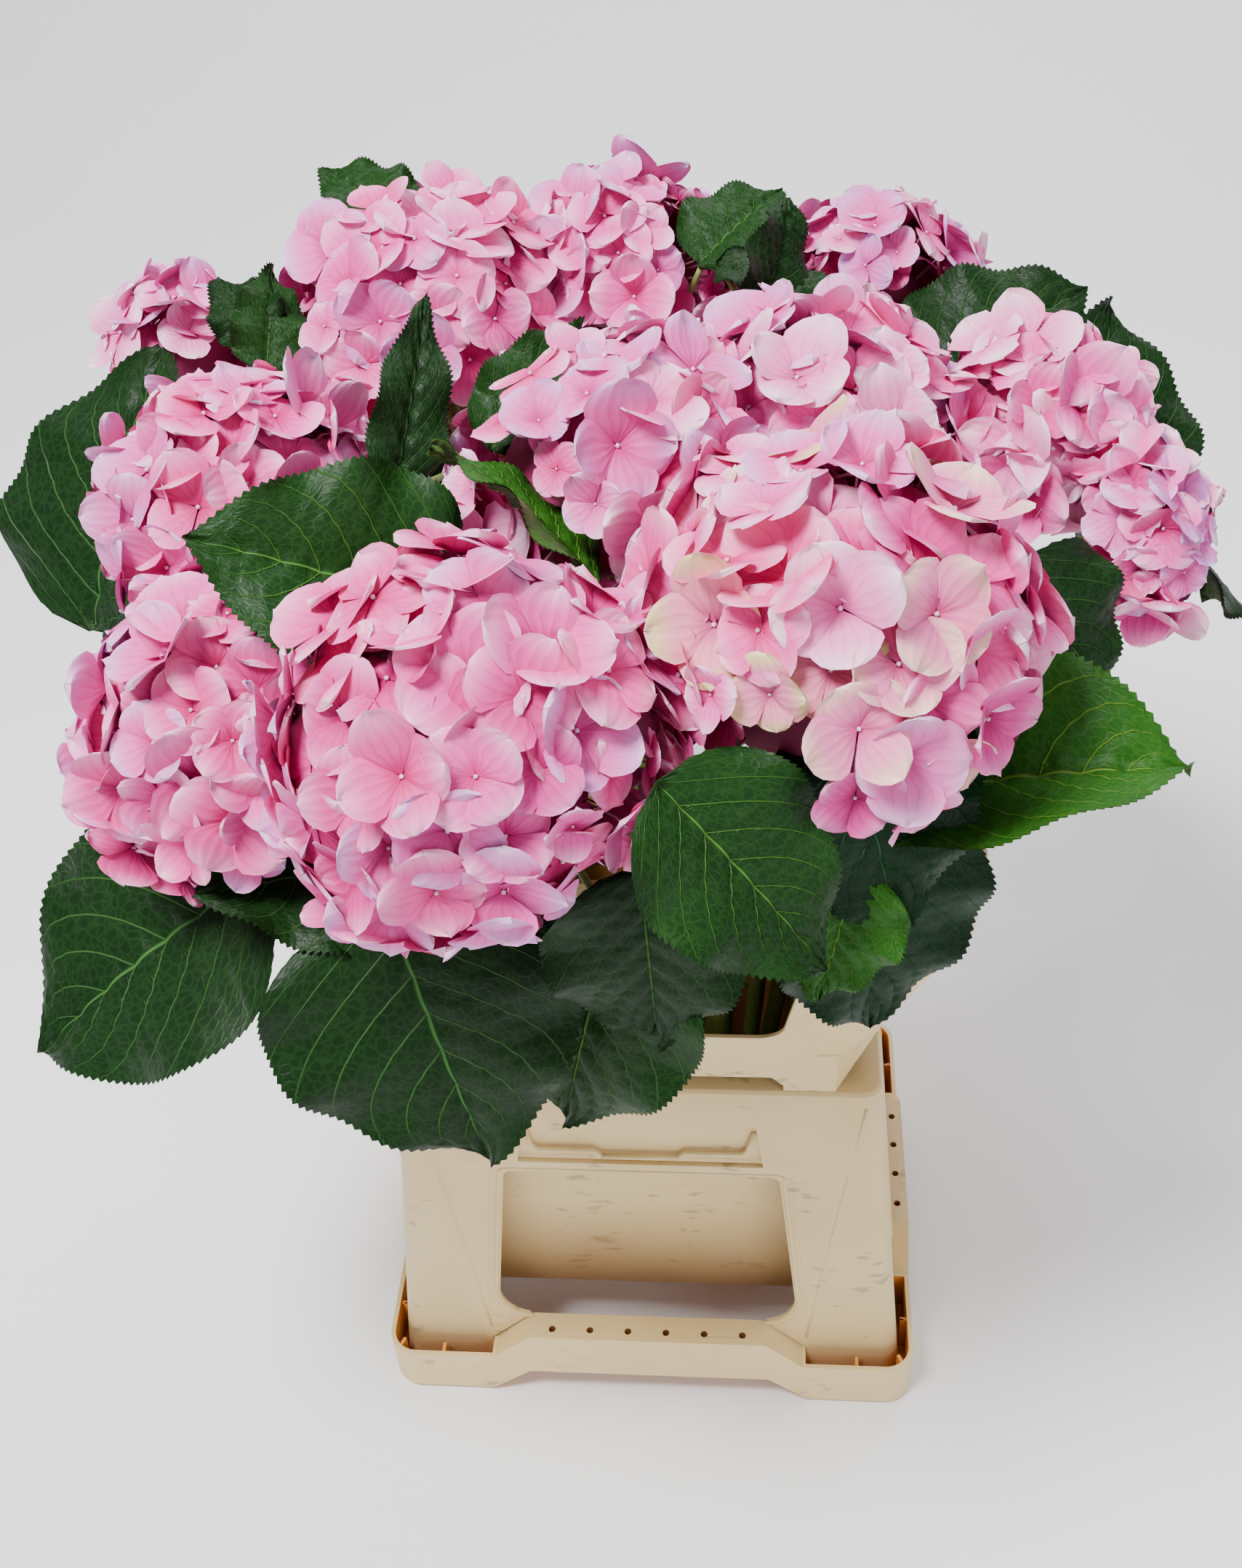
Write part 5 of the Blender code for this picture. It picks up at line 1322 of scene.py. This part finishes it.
# %% The scattering tree
def scatter_tree():
    tree = bpy.data.node_groups.new("florets on points", "GeometryNodeTree")
    face = tree.interface
    face.new_socket(name="Points", in_out="INPUT", socket_type="NodeSocketGeometry")
    face.new_socket(name="Kinds", in_out="INPUT", socket_type="NodeSocketCollection")
    grow = face.new_socket(name="Size Factor", in_out="INPUT", socket_type="NodeSocketFloat")
    grow.default_value = 1.0
    face.new_socket(name="Finish", in_out="INPUT", socket_type="NodeSocketMaterial")
    face.new_socket(name="Florets", in_out="OUTPUT", socket_type="NodeSocketGeometry")
    source = add(tree, "NodeGroupInput")
    kinds = add(
        tree, "GeometryNodeCollectionInfo", {"Collection": source.outputs["Kinds"], "Separate Children": True,
        "Reset Children": True},
    )

    def value(name, data_type):
        node = add(tree, "GeometryNodeInputNamedAttribute", {"Name": name}, data_type=data_type)
        return node.outputs["Attribute"]

    faced = add(
        tree, "FunctionNodeAlignRotationToVector", {"Vector": value("way", "FLOAT_VECTOR")}, axis="Z"
    )
    spun = add(
        tree, "FunctionNodeAxisAngleToRotation", {"Axis": (0.0, 0.0, 1.0), "Angle": value("spin", "FLOAT")}
    )
    turned = add(
        tree, "FunctionNodeRotateRotation",
        {"Rotation": faced.outputs[0], "Rotate By": spun.outputs[0]}, rotation_space="LOCAL",
    )
    size = add(
        tree, "ShaderNodeMath", {0: value("size", "FLOAT"), 1: source.outputs["Size Factor"]},
        operation="MULTIPLY",
    )
    placed = add(
        tree, "GeometryNodeInstanceOnPoints",
        {"Points": source.outputs["Points"], "Instance": kinds.outputs[0], "Pick Instance": True,
         "Instance Index": value("kind", "INT"), "Rotation": turned.outputs[0], "Scale": size.outputs[0]},
    )
    real = add(tree, "GeometryNodeRealizeInstances", {"Geometry": placed.outputs[0]})
    moved = add(
        tree, "ShaderNodeVectorMath",
        {0: value("OFBake", "FLOAT_VECTOR"), 1: value("tile", "FLOAT_VECTOR")}, operation="ADD",
    )
    stored = add(
        tree, "GeometryNodeStoreNamedAttribute",
        {"Geometry": real.outputs[0], "Name": "OFBake", "Value": moved.outputs[0]},
        data_type="FLOAT2", domain="CORNER",
    )
    coated = add(
        tree, "GeometryNodeSetMaterial", {"Geometry": stored.outputs[0], "Material": source.outputs["Finish"]}
    )
    add(tree, "NodeGroupOutput", {0: coated.outputs[0]})
    return tree


florets_on_points = scatter_tree()


def scattered(name, points, kinds, factor, finish, single):
    """Runs the tree on one set of points and keeps the plain mesh."""
    mesh = bpy.data.meshes.new(name)
    mesh.from_pydata([tuple(p[0]) for p in points], [], [])
    ways = mesh.attributes.new("way", "FLOAT_VECTOR", "POINT")
    ways.data.foreach_set("vector", [c for p in points for c in p[1]])
    spins = mesh.attributes.new("spin", "FLOAT", "POINT")
    spins.data.foreach_set("value", [p[2] for p in points])
    sizes = mesh.attributes.new("size", "FLOAT", "POINT")
    sizes.data.foreach_set("value", [p[3] for p in points])
    picks = mesh.attributes.new("kind", "INT", "POINT")
    picks.data.foreach_set("value", [0 if single else p[4] for p in points])
    tiles = mesh.attributes.new("tile", "FLOAT_VECTOR", "POINT")
    corners = [(p[5] % TILES / TILES, p[5] // TILES / TILES, 0.0) for p in points]
    tiles.data.foreach_set("vector", [c for corner in corners for c in corner])
    made = new_object(name, mesh)
    change = made.modifiers.new("scatter", "NODES")
    change.node_group = florets_on_points
    inputs = {
        item.name: item.identifier for item in florets_on_points.interface.items_tree
        if item.in_out == "INPUT"
    }
    change[inputs["Kinds"]] = kinds
    change[inputs["Size Factor"]] = factor
    change[inputs["Finish"]] = finish
    made = applied(made, name)
    for extra in ("way", "spin", "size", "kind", "tile"):
        if extra in made.data.attributes:
            made.data.attributes.remove(made.data.attributes[extra])
    for face in made.data.polygons:
        face.use_smooth = True
    return made


# %% Set the florets
GROUPS = {
    "florets_front": (("01",), "florets_pale"),
    "florets_left": (("02", "03"), "florets_deep"),
    "florets_back_left": (("04", "05", "13"), "florets_pale"),
    "florets_back": (("06", "07", "14", "15"), "florets_pink"),
    "florets_middle": (("08", "12"), "florets_deep"),
    "florets_right": (("09", "10", "11"), "florets_pink"),
}
rng = random.Random(21)
all_points = {}
for name, (keys, slot) in GROUPS.items():
    all_points[name] = [(key, p) for key in keys for p in floret_points(key, rng)]
    points = [p for key, p in all_points[name]]
    made = scattered(name, points, floret_kinds, 1.0, sepal_finish, False)
    settle(made, [])
beads = [p for pairs in all_points.values() for key, p in pairs if p[6] == 0]
made = scattered("floret_hearts", beads, bead_kinds, 1.0, bead_finish, True)
settle(made, [])
print("florets:", len(beads))

# %% [markdown]
# Under the florets their stalks branch from the neck of the head, and a small core, painted the dark of shade,
# closes the view through it, as the crowd of stalks and hidden florets does on the plant.

# %% Floret stalks and cores
rng = random.Random(31)
branches = []
for pairs in all_points.values():
    for key, (held, facing, spin, size, kind, tile, layer) in pairs:
        middle, radius, axis, neck, bend, foot = head_frame(key)
        root = neck + axis * radius * 0.3
        knee = middle + (held - middle) * 0.45
        line = [root, root.lerp(knee, 0.6), knee, held - facing * 0.004, held]
        branches.append(limb(line, [0.0011, 0.0009, 0.0007, 0.0006, 0.0005], 4, 0.0, rng))
twigs = gathered("floret_stalks", branches)
settle(twigs, [], pedicel_finish)
cores = []
for key in HEADS:
    middle, radius, axis, neck, bend, foot = head_frame(key)
    bm = bmesh.new()
    bmesh.ops.create_icosphere(bm, subdivisions=3, radius=radius * (0.60 if radius > 0.066 else 0.48))
    turn = axis.to_track_quat("Z", "Y").to_matrix()
    for vert in bm.verts:
        spot = vert.co.copy()
        spot.z *= DOME_FLAT if spot.z > 0 else 0.75
        vert.co = middle + turn @ (spot * rng.uniform(0.94, 1.06))
    cores.append(closed(bm, "core"))
core = joined("head_cores", cores)
settle(core, [], core_painted_shade)

# %% [markdown]
# ## Floor, light and camera
#
# The plant stands on a plain pale floor that rises into a backdrop. Two broad lamps and a bright sky give
# soft light with open shadows. The camera stands where the photographer stood, above and close.

# %% Floor and backdrop
FLOOR_HALF = 6.0
bm = bmesh.new()
profile = [(-FLOOR_HALF, 0.0), (1.2, 0.0)]
for step in range(1, 9):
    turn = step * math.pi / 16.0
    profile.append((1.2 + 1.5 * math.sin(turn), 1.5 * (1.0 - math.cos(turn))))
profile.append((2.7, 6.0))
left = [bm.verts.new((-FLOOR_HALF, y, z)) for y, z in profile]
right = [bm.verts.new((FLOOR_HALF, y, z)) for y, z in profile]
for i in range(len(profile) - 1):
    bm.faces.new((left[i], right[i], right[i + 1], left[i + 1]))
mesh = bpy.data.meshes.new("floor")
bm.to_mesh(mesh)
bm.free()
for face in mesh.polygons:
    face.use_smooth = True
floor = new_object("floor", mesh)
paper = plain_finish("pale studio paper", "#FAFAFB", "#FCFCFD", 0.5, 0.9)
mesh.materials.append(paper)

# %% Lamps and sky
def lamp(name, place, aim, width, power):
    data = bpy.data.lights.new(name, "AREA")
    data.shape = "DISK"
    data.size = width
    data.energy = power
    made = bpy.data.objects.new(name, data)
    work.objects.link(made)
    made.location = place
    made.rotation_euler = (Vector(place) - Vector(aim)).to_track_quat("Z", "Y").to_euler()


lamp("key lamp", (-0.7, -0.7, 2.4), (0.0, 0.0, 0.4), 0.8, 100.0)
lamp("fill lamp", (1.6, -1.8, 1.4), (0.0, 0.0, 0.3), 1.6, 20.0)
lamp("back lamp", (0.5, 1.4, 2.2), (0.0, 0.0, 0.4), 1.4, 30.0)
world = bpy.data.worlds.new("pale sky")
bpy.context.scene.world = world
world.use_nodes = True
world.node_tree.nodes["Background"].inputs["Color"].default_value = linear("#F4F6FA")
world.node_tree.nodes["Background"].inputs["Strength"].default_value = 0.43

# %% Camera
CAMERA_PLACE = Vector((0.061, -0.643, 0.922)) + STAND
CAMERA_YAW = math.radians(-6.18)
CAMERA_PITCH = math.radians(41.05)
CAMERA_ROLL = math.radians(-3.57)
FOCAL_PIXELS = 2357.0
IMAGE_TALL = 2156.0
SENSOR = 36.0
ahead = Vector((
    math.sin(CAMERA_YAW) * math.cos(CAMERA_PITCH),
    math.cos(CAMERA_YAW) * math.cos(CAMERA_PITCH),
    -math.sin(CAMERA_PITCH),
))
right = Vector((math.cos(CAMERA_YAW), -math.sin(CAMERA_YAW), 0.0))
up = right.cross(ahead)
rolled_right = right * math.cos(CAMERA_ROLL) + up * math.sin(CAMERA_ROLL)
rolled_up = up * math.cos(CAMERA_ROLL) - right * math.sin(CAMERA_ROLL)
view = bpy.data.cameras.new("camera")
view.sensor_width = SENSOR
view.lens = FOCAL_PIXELS * SENSOR / IMAGE_TALL
eye = bpy.data.objects.new("camera", view)
work.objects.link(eye)
turned = Matrix((rolled_right, rolled_up, -ahead)).transposed().to_4x4()
turned.translation = CAMERA_PLACE
eye.matrix_world = turned
bpy.context.scene.camera = eye
